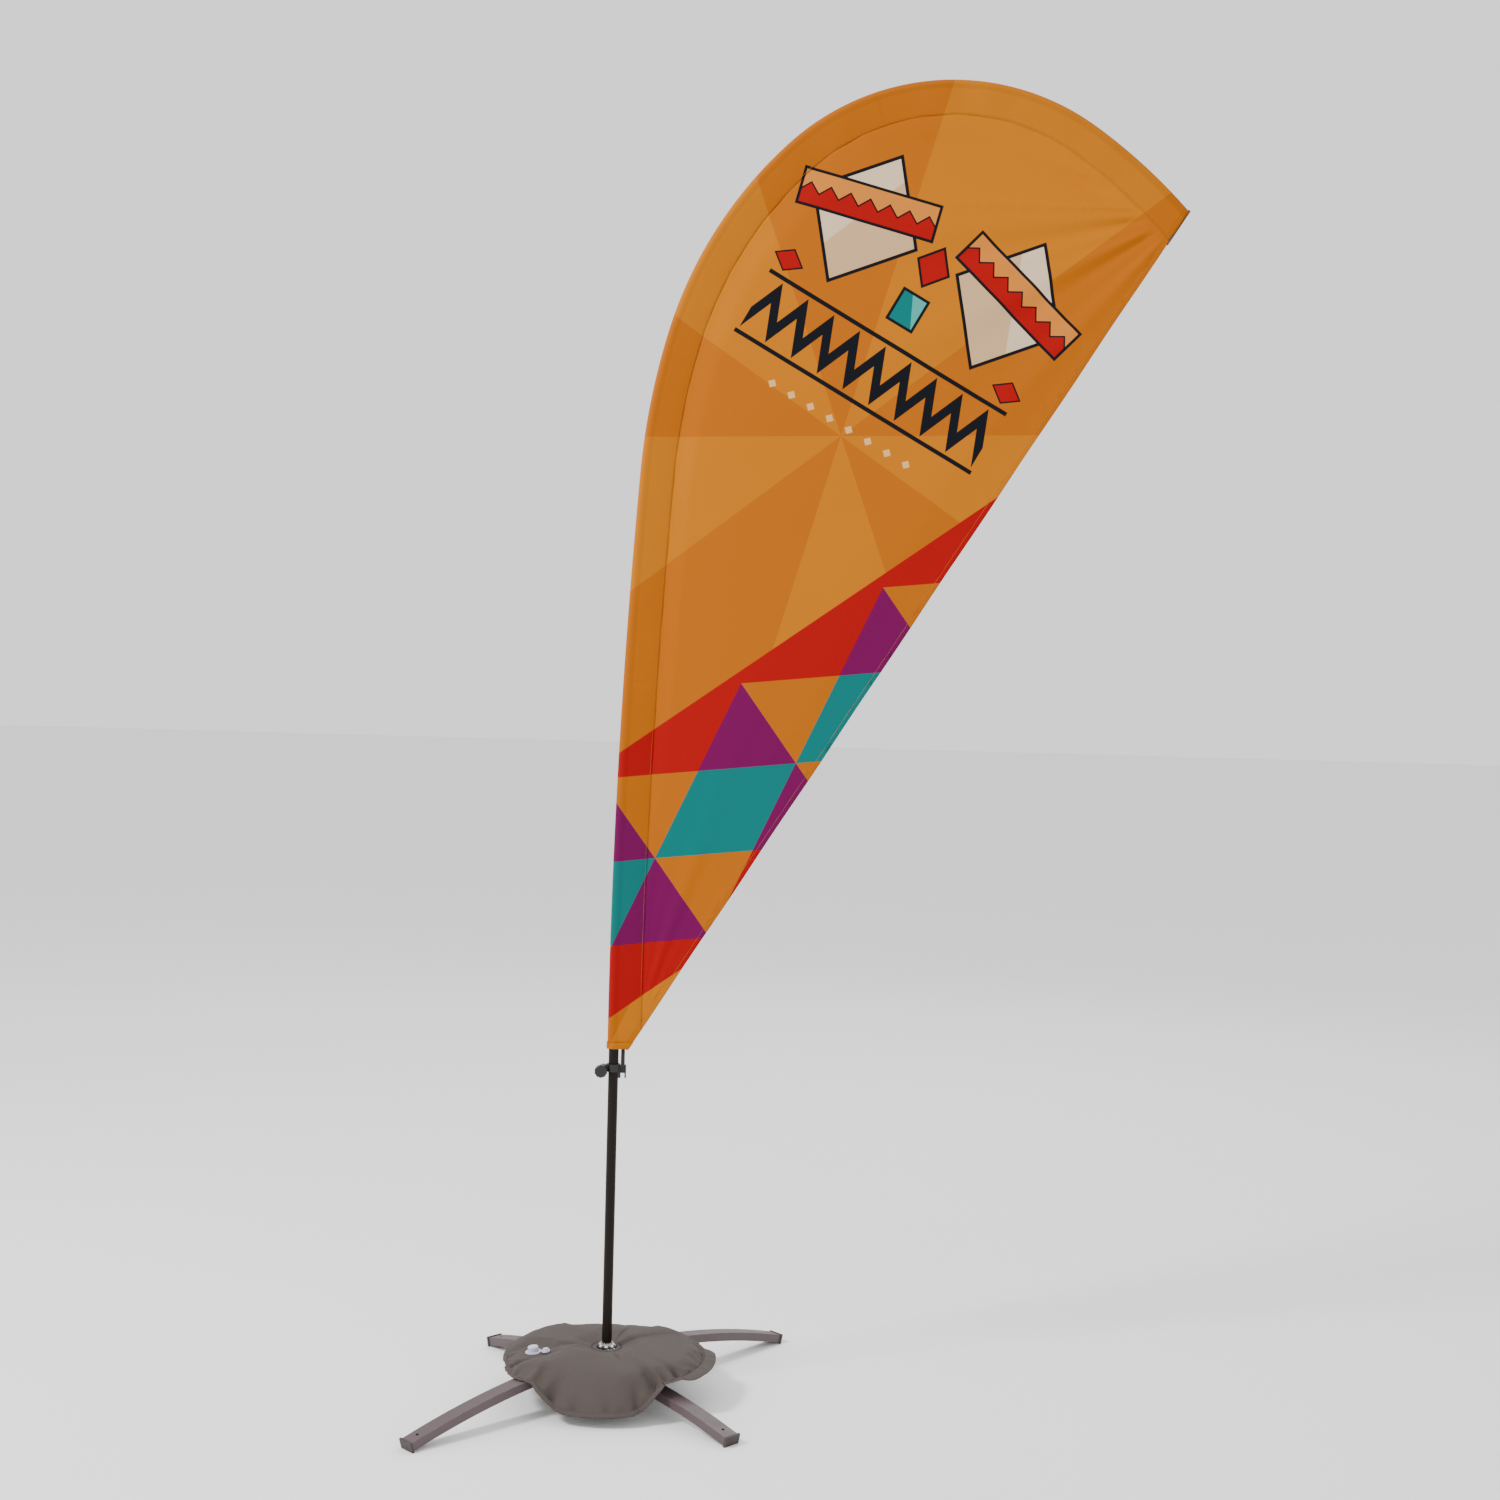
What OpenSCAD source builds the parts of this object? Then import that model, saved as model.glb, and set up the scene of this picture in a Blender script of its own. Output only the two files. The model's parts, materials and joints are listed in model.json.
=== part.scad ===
// Teardrop flag on a crossed-bar floor base, held down by a ring-shaped water bag.
// Millimetres, +Z up. The origin is on the floor, on the axis that the mast turns about.
// The flag stands in the XZ plane and flies towards +X.

/* [Crossed bars] */
// Width of the rectangular tube
bar_w = 34; // [30:1:38]
// Height of the rectangular tube
bar_h = 18; // [17:0.5:19]
// Wall of the rectangular tube
bar_wall = 1.5; // [1.2:0.1:2]
// Reach of the upper bar, from the mast axis to the end of its caps
upper_reach = 503; // [460:1:540]
// Height of the upper bar's underside at the middle
upper_rise = 74; // [73:0.5:76]
// Reach of the lower bar, from the mast axis to the end of its caps
lower_reach = 387; // [350:1:430]
// Height of the lower bar's underside at the middle
lower_rise = 47; // [46:0.5:48]
// Direction of the upper bar, measured from +X
upper_turn = 44; // [40:1:50]
// Radius of the ground peg holes near the bar ends
peg_r = 3.5; // [3:0.1:4.5]
// Distance of the peg holes from the ends of the caps
peg_inset = 30; // [28:1:40]

/* [Pivot and bearing] */
// Radius of the pivot bolt
bolt_r = 5; // [4.8:0.1:5.2]
// Outer radius of the fluted hub
hub_r = 19; // [18:0.5:20]
// Number of flutes around the hub
flutes = 8; // [6:1:10]
// Radius of the spindle's shaft
spindle_r = 8.2; // [8:0.05:8.3]
// Length of the spindle above its crown
spindle_len = 137; // [100:1:150]

/* [Mast] */
// Outer radius of the lowest pole section
pole_r = 10.5; // [10.4:0.1:10.8]
// Bore radius of the lowest pole section
pole_bore_r = 9; // [9:0.05:9.1]
// Height at which the mast starts to bend, which is the top of its lowest section
straight_top = 800; // [780:1:820]
// Radius of the first bend
bend_1_r = 16200; // [15000:100:18000]
// Sweep of the first bend, in degrees
bend_1_deg = 4; // [3.5:0.1:4.5]
// Radius of the second bend
bend_2_r = 1400; // [1300:10:1500]
// Sweep of the second bend, in degrees
bend_2_deg = 12; // [10:0.5:14]
// Radius of the third bend
bend_3_r = 845; // [800:5:900]
// Sweep of the third bend, in degrees
bend_3_deg = 31; // [29:0.5:33]
// Radius of the fourth bend
bend_4_r = 490; // [480:5:510]
// Sweep of the fourth bend, in degrees
bend_4_deg = 77; // [74:0.5:80]
// Radius of the last bend
bend_5_r = 1130; // [1050:10:1200]
// Sweep of the last bend, in degrees
bend_5_deg = 13; // [12:0.5:14]

/* [Flag] */
// Height of the flag's lower hem
flag_foot = 732; // [725:1:745]
// Distance from the mast axis to the foot of the free edge
foot_reach = 28; // [26:1:32]
// Width of the pole sleeve, from its outer edge to its seam
sleeve_w = 57; // [50:1:65]
// Outer radius of the sleeve around the mast
sleeve_r = 14; // [13.5:0.1:15]
// Thickness that stands for one or two layers of cloth
cloth = 1.2; // [1:0.1:1.5]
// Width of the hem along the free edge
hem_w = 12; // [10:1:16]

/* [Weight bag] */
// Mean radius of the bag
bag_r = 208; // [195:1:215]
// Radius of the hole that the mast passes through
bag_hole_r = 24; // [23:0.5:26]
// Height of the bag's top at its middle
bag_top = 97; // [96:0.5:99]
// Height of the bag's rim where it hangs at the front
front_rim = 58; // [50:1:65]
// Height of the bag's rim where it hangs at the back
back_rim = 48; // [45:1:60]
// Lowest point of the hanging front
front_belly = 23; // [20:1:35]
// Lowest point of the hanging back
back_belly = 30; // [20:1:40]

/* [Hidden] */

// Clearances: between pieces that turn on each other, between loose neighbours, and
// between pieces that are pushed or screwed together
run = 0.08;
gap = 0.3;
fit = 0.1;
// The same for a bore that stands tight on its shaft
tight = 0.02;
// How far a cutting shape runs past the surface that it cuts
cut = 1;

// Small cylinders and the profiles of swept tubes
$fn = 64;

// ---------- crossed bars ----------

lower_turn = upper_turn - 90;
cap_lip = 5;
cap_proud = 2;
plug_len = 14;
foot_lift = 1;

function deg(arc, r) = arc / r * 180 / PI;
function arc_fn(r) = max(96, ceil(2 * PI * r / 25));
// Radius of a bar's underside, from its reach and its rise above its own feet
function bar_radius(reach, rise) =
    (reach * reach + (rise - foot_lift) * (rise - foot_lift)) / (2 * (rise - foot_lift));
// Length along the underside from the middle to the end of the cap
function bar_half(reach, rise) =
    let (r = bar_radius(reach, rise)) asin(reach / r) * PI / 180 * r;

// Sweeps a profile along a bar's arc: the profile's x is height above the underside
// and its y is across the bar; from and to are lengths along the arc from the middle
module along_bar(reach, rise, turn, from, to) {
    r = bar_radius(reach, rise);
    rotate([0, 0, turn])
        translate([0, 0, rise - r])
            rotate([90, 0, 0])
                rotate([0, 0, 90 - deg(to, r)])
                    rotate_extrude(angle = deg(to - from, r), $fn = arc_fn(r))
                        translate([r, 0]) children();
}

// A rectangle of the tube's section, grown outwards or inwards on every side
module bar_section(grow) {
    translate([-grow, -bar_w / 2 - grow]) square([bar_h + 2 * grow, bar_w + 2 * grow]);
}

// Places a piece at a length along the bar, with +Z along the bar's own upward normal
module on_bar(reach, rise, turn, at) {
    r = bar_radius(reach, rise);
    rotate([0, 0, turn])
        translate([0, 0, rise - r])
            rotate([0, deg(at, r), 0])
                translate([0, 0, r]) children();
}

// One arched tube with a hole for the pivot and a peg hole near each end
module bar(reach, rise, turn, pivot_r) {
    half = bar_half(reach, rise);
    difference() {
        along_bar(reach, rise, turn, cap_lip - half, half - cap_lip)
            difference() {
                bar_section(0);
                bar_section(-bar_wall);
            }
        translate([0, 0, rise - cut]) cylinder(r = pivot_r, h = bar_h + 2 * cut);
        for (side = [-1, 1])
            on_bar(reach, rise, turn, side * (half - peg_inset))
                translate([0, 0, -cut]) cylinder(r = peg_r, h = bar_h + 2 * cut);
    }
}

// A plug in each end of a tube, with a lip that is cut flat where it stands on the floor
module end_caps(reach, rise, turn) {
    half = bar_half(reach, rise);
    room = reach + 100;
    intersection() {
        for (side = [-1, 1]) {
            outer = side * half;
            lip = side * (half - cap_lip);
            inner = side * (half - cap_lip - plug_len);
            in_lip = side * (half - cap_lip / 2);
            along_bar(reach, rise, turn, min(outer, lip), max(outer, lip))
                bar_section(cap_proud);
            along_bar(reach, rise, turn, min(in_lip, inner), max(in_lip, inner))
                bar_section(-bar_wall - fit);
        }
        translate([-room, -room, 0]) cube([2 * room, 2 * room, rise + bar_h]);
    }
}

// The tube that keeps a bar's walls apart where the pivot bolt is tightened
module bushing(rise) {
    bushing_wall = 3;
    translate([0, 0, rise + bar_wall + fit])
        ring(bolt_r + run, bolt_r + bushing_wall, bar_h - 2 * (bar_wall + fit));
}

module lower_bar() {
    color("dimgray") bar(lower_reach, lower_rise, lower_turn, bolt_r + run);
}

module upper_bar() {
    color("gray") bar(upper_reach, upper_rise, upper_turn, bolt_r + run);
}

module lower_bar_end_caps() {
    color("black") end_caps(lower_reach, lower_rise, lower_turn);
}

module upper_bar_end_caps() {
    color("black") end_caps(upper_reach, upper_rise, upper_turn);
}

module lower_bar_bushing() {
    color("silver") bushing(lower_rise);
}

module upper_bar_bushing() {
    color("silver") bushing(upper_rise);
}

// ---------- pivot and bearing ----------

lower_top = lower_rise + bar_h;
upper_top = upper_rise + bar_h;
hub_z = upper_top + gap;
hub_floor = 2.4;
hub_h = 11.4;
hub_chamfer = 3;
hub_bore_r = 10;
spacer_r = 15;
hub_top = hub_z + hub_h;
bolt_head_h = 2;
bolt_head_r = 9;
bolt_end = 3;
race_z = hub_z + hub_floor + bolt_head_h + 0.6;
race_h = 5;
race_r = 13.5;
crown_z = hub_top + 0.4;
crown_h = 4;
crown_r = 12.4;
crown_teeth = 12;
ball_r = 1.6;
ball_ring_r = 9.1;
balls = 11;
// Half of the opening between the two races
race_slot = 1.4;
journal_r = 5;
washer_h = 1.6;
washer_r = 10;
nut_h = 8;
nut_r = 9.8;
// The washer and the nut stand one below the other under the lower bar
washer_z = lower_rise - washer_h - 0.2;
nut_z = washer_z - nut_h - fit;

// A ring with a square section
module ring(inner, outer, h) {
    difference() {
        cylinder(r = outer, h = h);
        translate([0, 0, -cut]) cylinder(r = inner, h = h + 2 * cut);
    }
}

module pivot_spacer() {
    color("ivory")
        translate([0, 0, lower_top + fit])
            ring(bolt_r + run, spacer_r, upper_rise - lower_top - gap - fit);
}

module pivot_bolt() {
    foot_z = lower_rise - washer_h - nut_h - bolt_end;
    head_z = hub_z + hub_floor;
    color("silver") {
        translate([0, 0, foot_z]) cylinder(r = bolt_r, h = head_z - foot_z + bolt_head_h / 2);
        translate([0, 0, head_z]) cylinder(r = bolt_head_r, h = bolt_head_h);
    }
}

module pivot_washer() {
    color("silver")
        translate([0, 0, washer_z]) ring(bolt_r + run, washer_r, washer_h);
}

// Lock nut with six flats
module pivot_nut() {
    color("silver")
        translate([0, 0, nut_z])
            difference() {
                cylinder(r = nut_r, h = nut_h, $fn = 6);
                translate([0, 0, -cut]) cylinder(r = bolt_r + tight, h = nut_h + 2 * cut);
            }
}

// Chrome housing, gripped by its flutes when the base is screwed together
module fluted_hub() {
    flute_r = hub_r * 0.27;
    flute_out = flute_r * 0.35;
    color("gainsboro")
        translate([0, 0, hub_z])
            difference() {
                union() {
                    cylinder(r = hub_r, h = hub_h - hub_chamfer);
                    translate([0, 0, hub_h - hub_chamfer])
                        cylinder(r1 = hub_r, r2 = hub_r - hub_chamfer, h = hub_chamfer);
                }
                for (i = [0 : flutes - 1])
                    rotate([0, 0, (i + 0.5) * 360 / flutes])
                        translate([hub_r + flute_out, 0, -cut])
                            cylinder(r = flute_r, h = hub_h + 2 * cut);
                translate([0, 0, -cut]) cylinder(r = bolt_r + run, h = hub_floor + 2 * cut);
                translate([0, 0, hub_floor]) cylinder(r = hub_bore_r, h = hub_h);
                translate([0, 0, race_z - hub_z]) cylinder(r = race_r + tight, h = hub_h);
            }
}

module bearing_outer_race() {
    color("silver")
        translate([0, 0, race_z])
            difference() {
                ring(ball_ring_r + race_slot, race_r, race_h);
                translate([0, 0, race_h / 2]) ball_groove();
            }
}

module bearing_inner_race() {
    color("silver")
        translate([0, 0, race_z])
            difference() {
                ring(journal_r + tight, ball_ring_r - race_slot, race_h);
                translate([0, 0, race_h / 2]) ball_groove();
            }
}

// The channel that the balls run in, a little larger than the balls
module ball_groove() {
    rotate_extrude() translate([ball_ring_r, 0]) circle(r = ball_r + gap);
}

module bearing_balls() {
    color("silver")
        for (i = [0 : balls - 1])
            rotate([0, 0, i * 360 / balls])
                translate([ball_ring_r, 0, race_z + race_h / 2]) sphere(r = ball_r);
}

// Split ring that keeps the bearing down in the hub
module bearing_circlip() {
    split = 3;
    color("dimgray")
        translate([0, 0, race_z + race_h + fit])
            difference() {
                ring(11.4, race_r - fit, 0.9);
                translate([0, -split / 2, -cut]) cube([hub_r, split, 3 * cut]);
            }
}

// Journal, shaft with two grooves and a chamfered nose, as one turned piece
module spindle() {
    groove_h = 2.2;
    groove_depth = 0.9;
    nose_h = 4;
    nose_r = spindle_r - 3;
    shaft_h = crown_h + spindle_len - nose_h;
    color("silver")
        difference() {
            union() {
                translate([0, 0, race_z + 0.2]) cylinder(r = journal_r, h = crown_z - race_z);
                translate([0, 0, crown_z]) cylinder(r = spindle_r, h = shaft_h);
                translate([0, 0, crown_z + shaft_h])
                    cylinder(r1 = spindle_r, r2 = nose_r, h = nose_h);
            }
            for (z = o_ring_heights())
                translate([0, 0, z - groove_h / 2])
                    ring(spindle_r - groove_depth, spindle_r + cut, groove_h);
        }
}

function o_ring_heights() = [crown_z + crown_h + 22, crown_z + crown_h + spindle_len - 24];

// Toothed ring that the mast stands on
module spindle_crown() {
    tooth_r = 2;
    color("gainsboro")
        translate([0, 0, crown_z])
            difference() {
                union() {
                    cylinder(r = crown_r - 0.7 * tooth_r, h = crown_h);
                    for (i = [0 : crown_teeth - 1])
                        rotate([0, 0, i * 360 / crown_teeth])
                            translate([crown_r - tooth_r, 0, 0])
                                cylinder(r = tooth_r, h = crown_h);
                }
                translate([0, 0, -cut])
                    cylinder(r = spindle_r + tight, h = crown_h + 2 * cut);
            }
}

module spindle_o_rings() {
    color("black")
        for (z = o_ring_heights())
            translate([0, 0, z])
                rotate_extrude() translate([spindle_r - 0.05, 0]) circle(r = 0.75, $fn = 32);
}

// ---------- mast ----------

bends = [[bend_1_r, bend_1_deg], [bend_2_r, bend_2_deg], [bend_3_r, bend_3_deg],
         [bend_4_r, bend_4_deg], [bend_5_r, bend_5_deg]];
last = len(bends);

// Lean from the vertical, height along the mast and place at the start of bend i
function lean(i) = i == 0 ? 0 : lean(i - 1) + bends[i - 1][1];
function mile(i) =
    i == 0 ? straight_top : mile(i - 1) + bends[i - 1][0] * bends[i - 1][1] * PI / 180;
function knot(i) =
    i == 0 ? [0, straight_top]
           : let (r = bends[i - 1][0], a = lean(i - 1), b = lean(i))
             knot(i - 1) + r * [cos(a) - cos(b), sin(b) - sin(a)];
function centre(i) = knot(i) + bends[i][0] * [cos(lean(i)), -sin(lean(i))];

// Which bend a length s along the mast lies on, and the lean there
function bend_at(s, i = 0) = i >= last - 1 || s <= mile(i + 1) ? i : bend_at(s, i + 1);
function lean_at(s) =
    s <= straight_top ? 0
                      : let (i = bend_at(s)) lean(i) + deg(s - mile(i), bends[i][0]);
// The point [x, z] at length s along the mast, offset towards the flag by u
function mast_point(s, u) =
    s <= straight_top
        ? [u, s]
        : let (i = bend_at(s), a = lean_at(s))
          centre(i) + (bends[i][0] - u) * [-cos(a), sin(a)];

// A point of the mast's section at length s: u towards the flag, v across it and, for a
// slanted end, w along the mast
function section_point(s, u, v, w = 0) =
    let (p = mast_point(s, u), a = lean_at(s)) [p[0] + w * sin(a), v, p[1] + w * cos(a)];

// A closed skin over rings of points that run anticlockwise about the mast as seen from
// above, with inner rings for a bore
module skin(outer, inner) {
    n = len(outer[0]);
    rows = len(outer);
    bore = len(inner);
    base = rows * n;
    end = (rows - 1) * n;
    bore_end = base + (bore - 1) * n;
    next = [for (j = [0 : n - 1]) (j + 1) % n];
    sides = [for (i = [0 : rows - 2], j = [0 : n - 1])
        [i * n + j, (i + 1) * n + j, (i + 1) * n + next[j], i * n + next[j]]];
    bore_sides = bore == 0 ? [] : [for (i = [0 : bore - 2], j = [0 : n - 1])
        [base + i * n + j, base + i * n + next[j],
         base + (i + 1) * n + next[j], base + (i + 1) * n + j]];
    ends = bore == 0
        ? [[for (j = [0 : n - 1]) j], [for (j = [0 : n - 1]) end + n - 1 - j]]
        : concat([for (j = [0 : n - 1]) [j, next[j], base + next[j], base + j]],
                 [for (j = [0 : n - 1])
                     [end + j, bore_end + j, bore_end + next[j], end + next[j]]]);
    polyhedron(points = concat([for (ring = outer) each ring], [for (ring = inner) each ring]),
               faces = concat(sides, bore_sides, ends));
}

// One ring of a round section at length s
sides = 12;
function round_ring(s, r) =
    [for (j = [0 : sides - 1]) section_point(s, r * cos(j * 360 / sides), r * sin(j * 360 / sides))];

mast_foot = crown_z + crown_h + 0.2;
tip_s = mile(last);
tip_end = tip_s - 26;
upper_sections = 4;
upper_len = (tip_end - straight_top) / upper_sections;
cells = 20;
step = upper_len / cells;

// Outer radius and bore of the five sections, from the lowest up
section_r = [pole_r, 8.6, 7.1, 5.8, 4.6];
section_bore = [pole_bore_r, 7.4, 6.1, 4.9, 0];

// An upper section with the spigot that goes two cells down into the section below; all
// their rings stand at the same places, so that nested sections stay clear in the bends
module upper_section(k) {
    start = straight_top + (k - 1) * upper_len;
    spigot_r = section_bore[k - 1] - fit;
    skin(concat([for (i = [-2 : 0]) round_ring(start + i * step, spigot_r)],
                [for (i = [0 : cells]) round_ring(start + i * step, section_r[k])]),
         section_bore[k] == 0 ? []
             : [for (i = [-2 : cells]) round_ring(start + i * step, section_bore[k])]);
}

// The lowest section is straight, with a true bore that slides over the spindle
module pole_section_1() {
    color("black")
        difference() {
            translate([0, 0, mast_foot]) cylinder(r = pole_r, h = straight_top - mast_foot);
            translate([0, 0, mast_foot - cut])
                cylinder(r = pole_bore_r, h = straight_top - mast_foot + 2 * cut);
        }
}

module pole_section_2() {
    color("black") upper_section(1);
}

module pole_section_3() {
    color("black") upper_section(2);
}

module pole_section_4() {
    color("black") upper_section(3);
}

module pole_section_5() {
    color("black") upper_section(4);
}

// Metal rings, one cell long, that stop the upper end of each section from splitting
module pole_ferrules() {
    wall = 1;
    color("silver") {
        translate([0, 0, straight_top - step]) ring(pole_r + fit / 2, pole_r + wall, step);
        for (k = [1 : upper_sections - 1]) {
            start = straight_top + k * upper_len;
            skin([for (i = [-1 : 0]) round_ring(start + i * step, section_r[k] + fit + wall)],
                 [for (i = [-1 : 0]) round_ring(start + i * step, section_r[k] + fit)]);
        }
    }
}

// The frame of the mast at length s, with +Z along it
module on_mast(s) {
    p = mast_point(s, 0);
    translate([p[0], 0, p[1]]) rotate([0, lean_at(s), 0]) children();
}

// Chamfered cap on the tip, which bears on the end of the sleeve
module pole_tip_cap() {
    cap_r = 6.6;
    cap_bore_r = 5;
    skirt = 20;
    end_wall = 3;
    chamfer = 2;
    color("black")
        on_mast(tip_end)
            difference() {
                union() {
                    translate([0, 0, -skirt]) cylinder(r = cap_r, h = skirt + end_wall);
                    translate([0, 0, end_wall])
                        cylinder(r1 = cap_r, r2 = cap_r - chamfer, h = chamfer);
                }
                translate([0, 0, -skirt - cut]) cylinder(r = cap_bore_r, h = skirt + cut + gap);
            }
}

// ---------- flag ----------

seam_u = sleeve_w - sleeve_r;
hem_drop = 6;
foot_corner = [foot_reach, flag_foot - hem_drop];
tip_corner = mast_point(tip_s, -sleeve_r);
edge_len = norm(tip_corner - foot_corner);
edge_lean = atan2(tip_corner[0] - foot_corner[0], tip_corner[1] - foot_corner[1]);
edge_out = [cos(edge_lean), -sin(edge_lean)];
end_plate = 3;
// How far down the free edge the slanted end of the sleeve reaches, and its round part
mouth = sleeve_w + 4;
round_mouth = 2 * sleeve_r + 2;

// Distance of the mast's centre at length s from the free edge, negative on the flag's side
function edge_gap(s) = (mast_point(s, 0) - foot_corner) * edge_out;

// Reach of the sleeve's flat part at length s: to the seam, or near the foot, where the
// flat part faces the free edge, to its hem
facing = 0.5;
function web_end(s) =
    let (inward = [cos(lean_at(s)), -sin(lean_at(s))] * edge_out)
    inward > facing ? min(seam_u, (-hem_w - edge_gap(s)) / inward) : seam_u;

// How far along the mast the slanted end of the sleeve lies at offset u
function end_slant(u) =
    let (a = lean_at(tip_s), inward = [cos(a), -sin(a)] * edge_out,
         forward = [sin(a), cos(a)] * edge_out)
    (-end_plate - edge_gap(tip_s) - u * inward) / forward;

// Outline of the sleeve, as [towards the flag, across]: round the mast from above the flat
// part to below it, then out to the seam and back
round_points = 12;
first_angle = 18;
// How far pieces that are sewn together reach into each other
sink = 0.05;
function around(j) = first_angle + j * (360 - 2 * first_angle) / (round_points - 1);
function sleeve_outline(reach) = concat(
    [for (j = [0 : round_points - 1]) sleeve_r * [cos(around(j)), sin(around(j))]],
    [[sleeve_r - sink, -cloth], [reach, -cloth], [reach, cloth], [sleeve_r - sink, cloth]]);
// The bore has one point for each point of the outline, the last four close together
bore_angles = concat([for (j = [0 : round_points - 1]) around(j)], [-4, -1.5, 1.5, 4]);
bore_outline = (sleeve_r - cloth) * [for (a = bore_angles) [cos(a), sin(a)]];

function sleeve_ring(s, outline) =
    [for (p = outline) section_point(s, p[0], p[1], s == tip_s ? end_slant(p[0]) : 0)];

// Closer rings where the flat part widens from the foot, then one ring to a cell
foot_step = 9;
sleeve_stations = concat([for (i = [0 : 7]) flag_foot + i * foot_step],
                         [for (s = [straight_top : step : tip_end + 1]) s], [tip_s]);

// A tube of cloth around the mast, its two layers laid together from there to the seam
module pole_sleeve() {
    color("goldenrod")
        skin([for (s = sleeve_stations) sleeve_ring(s, sleeve_outline(web_end(s)))],
             [for (s = sleeve_stations) sleeve_ring(s, bore_outline)]);
}

// The frame of the free edge: +Z runs up along the edge and +X points out of the flag
module on_free_edge() {
    translate([foot_corner[0], 0, foot_corner[1]]) rotate([0, edge_lean, 0]) children();
}

// Everything outside the free edge, less a margin that the hem fills
module outside_free_edge() {
    reach = 900;
    on_free_edge() translate([-hem_w, -reach, -reach]) cube([reach, 2 * reach, 2 * reach + edge_len]);
}

// Seam stations that the free edge's hem leaves clear
function on_panel(s) = (mast_point(s, seam_u) - foot_corner) * edge_out < -hem_w;
seam_points = [for (s = sleeve_stations) if (on_panel(s)) mast_point(s, seam_u + gap)];

module flag_panel() {
    color("orange")
        difference() {
            rotate([90, 0, 0])
                linear_extrude(cloth, center = true)
                    polygon(concat(seam_points, [mast_point(tip_s, seam_u + gap), foot_corner]));
            outside_free_edge();
        }
}

// Folded and stitched edge from the lower corner to the end of the sleeve
module free_edge_hem() {
    color("darkorange")
        on_free_edge()
            translate([-hem_w + sink, -cloth, 0])
                cube([hem_w - sink, 2 * cloth, edge_len - mouth]);
}

// Band around the mouth of the sleeve
module bottom_hem() {
    band = 0.8;
    band_h = 12;
    reach = 22;
    color("darkorange")
        difference() {
            translate([0, 0, flag_foot])
                linear_extrude(band_h)
                    difference() {
                        union() {
                            circle(r = sleeve_r + sink + band);
                            translate([0, -cloth - band]) square([reach, 2 * (cloth + band)]);
                        }
                        circle(r = sleeve_r + sink);
                        translate([0, -cloth - sink])
                            square([reach + cut, 2 * (cloth + sink)]);
                    }
            outside_free_edge();
        }
}

// Stiff end that closes the sleeve at the tip, with a webbing liner around the pole cap
module tip_pocket() {
    liner_r = sleeve_r - cloth - 0.8;
    liner_t = 1;
    liner_len = 26;
    color("saddlebrown") {
        on_free_edge() {
            translate([-end_plate + sink, -sleeve_r, edge_len - round_mouth])
                cube([end_plate, 2 * sleeve_r, round_mouth]);
            translate([-end_plate + sink, -2 * cloth, edge_len - mouth])
                cube([end_plate, 4 * cloth, mouth]);
        }
        on_mast(tip_end - 12) ring(liner_r - liner_t, liner_r, liner_len);
    }
}

// ---------- tension strap and clamp ----------

clamp_z = 683;
clamp_h = 16;
screw_x = -25;
screw_z = clamp_z + 2;
screw_r = 2.5;
strap_x = 15.6;
strap_w = 7.8;
hook_bar_r = 4;
hook_bar_z = clamp_z + 2;
strap_t = 1.2;
strap_top = flag_foot + 12;
// Half of the gap between the strap's two ends, which lie on the cloth
strap_pinch = cloth + fit;

// Two patches that hold the strap's ends on the flag's lower corner
module corner_patch() {
    margin = 1.4;
    patch_h = 16;
    patch_t = 0.8;
    patch_y = cloth + strap_t + fit + sink;
    color("black")
        for (side = [0, 1])
            mirror([0, side, 0])
                translate([strap_x - margin, patch_y, flag_foot + margin])
                    cube([strap_w + 2 * margin, patch_t, patch_h]);
}

// Loop of webbing seen from the side: round under the hook's bar, its two ends
// brought together on the flag's corner
module strap_side(r, pinch) {
    shoulder = flag_foot - 9;
    throat = flag_foot - 1;
    translate([0, hook_bar_z]) circle(r = r, $fn = 48);
    polygon([[-r, hook_bar_z], [r, hook_bar_z], [r, shoulder], [pinch, throat],
             [pinch, strap_top], [-pinch, strap_top], [-pinch, throat], [-r, shoulder]]);
}

module tension_strap() {
    inner = hook_bar_r + gap;
    color("black")
        translate([strap_x, 0, 0])
            rotate([90, 0, 90])
                linear_extrude(strap_w)
                    difference() {
                        strap_side(inner + strap_t, strap_pinch + strap_t);
                        strap_side(inner, strap_pinch);
                        translate([-strap_pinch, flag_foot])
                            square([2 * strap_pinch, strap_top - flag_foot + cut]);
                    }
}

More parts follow.
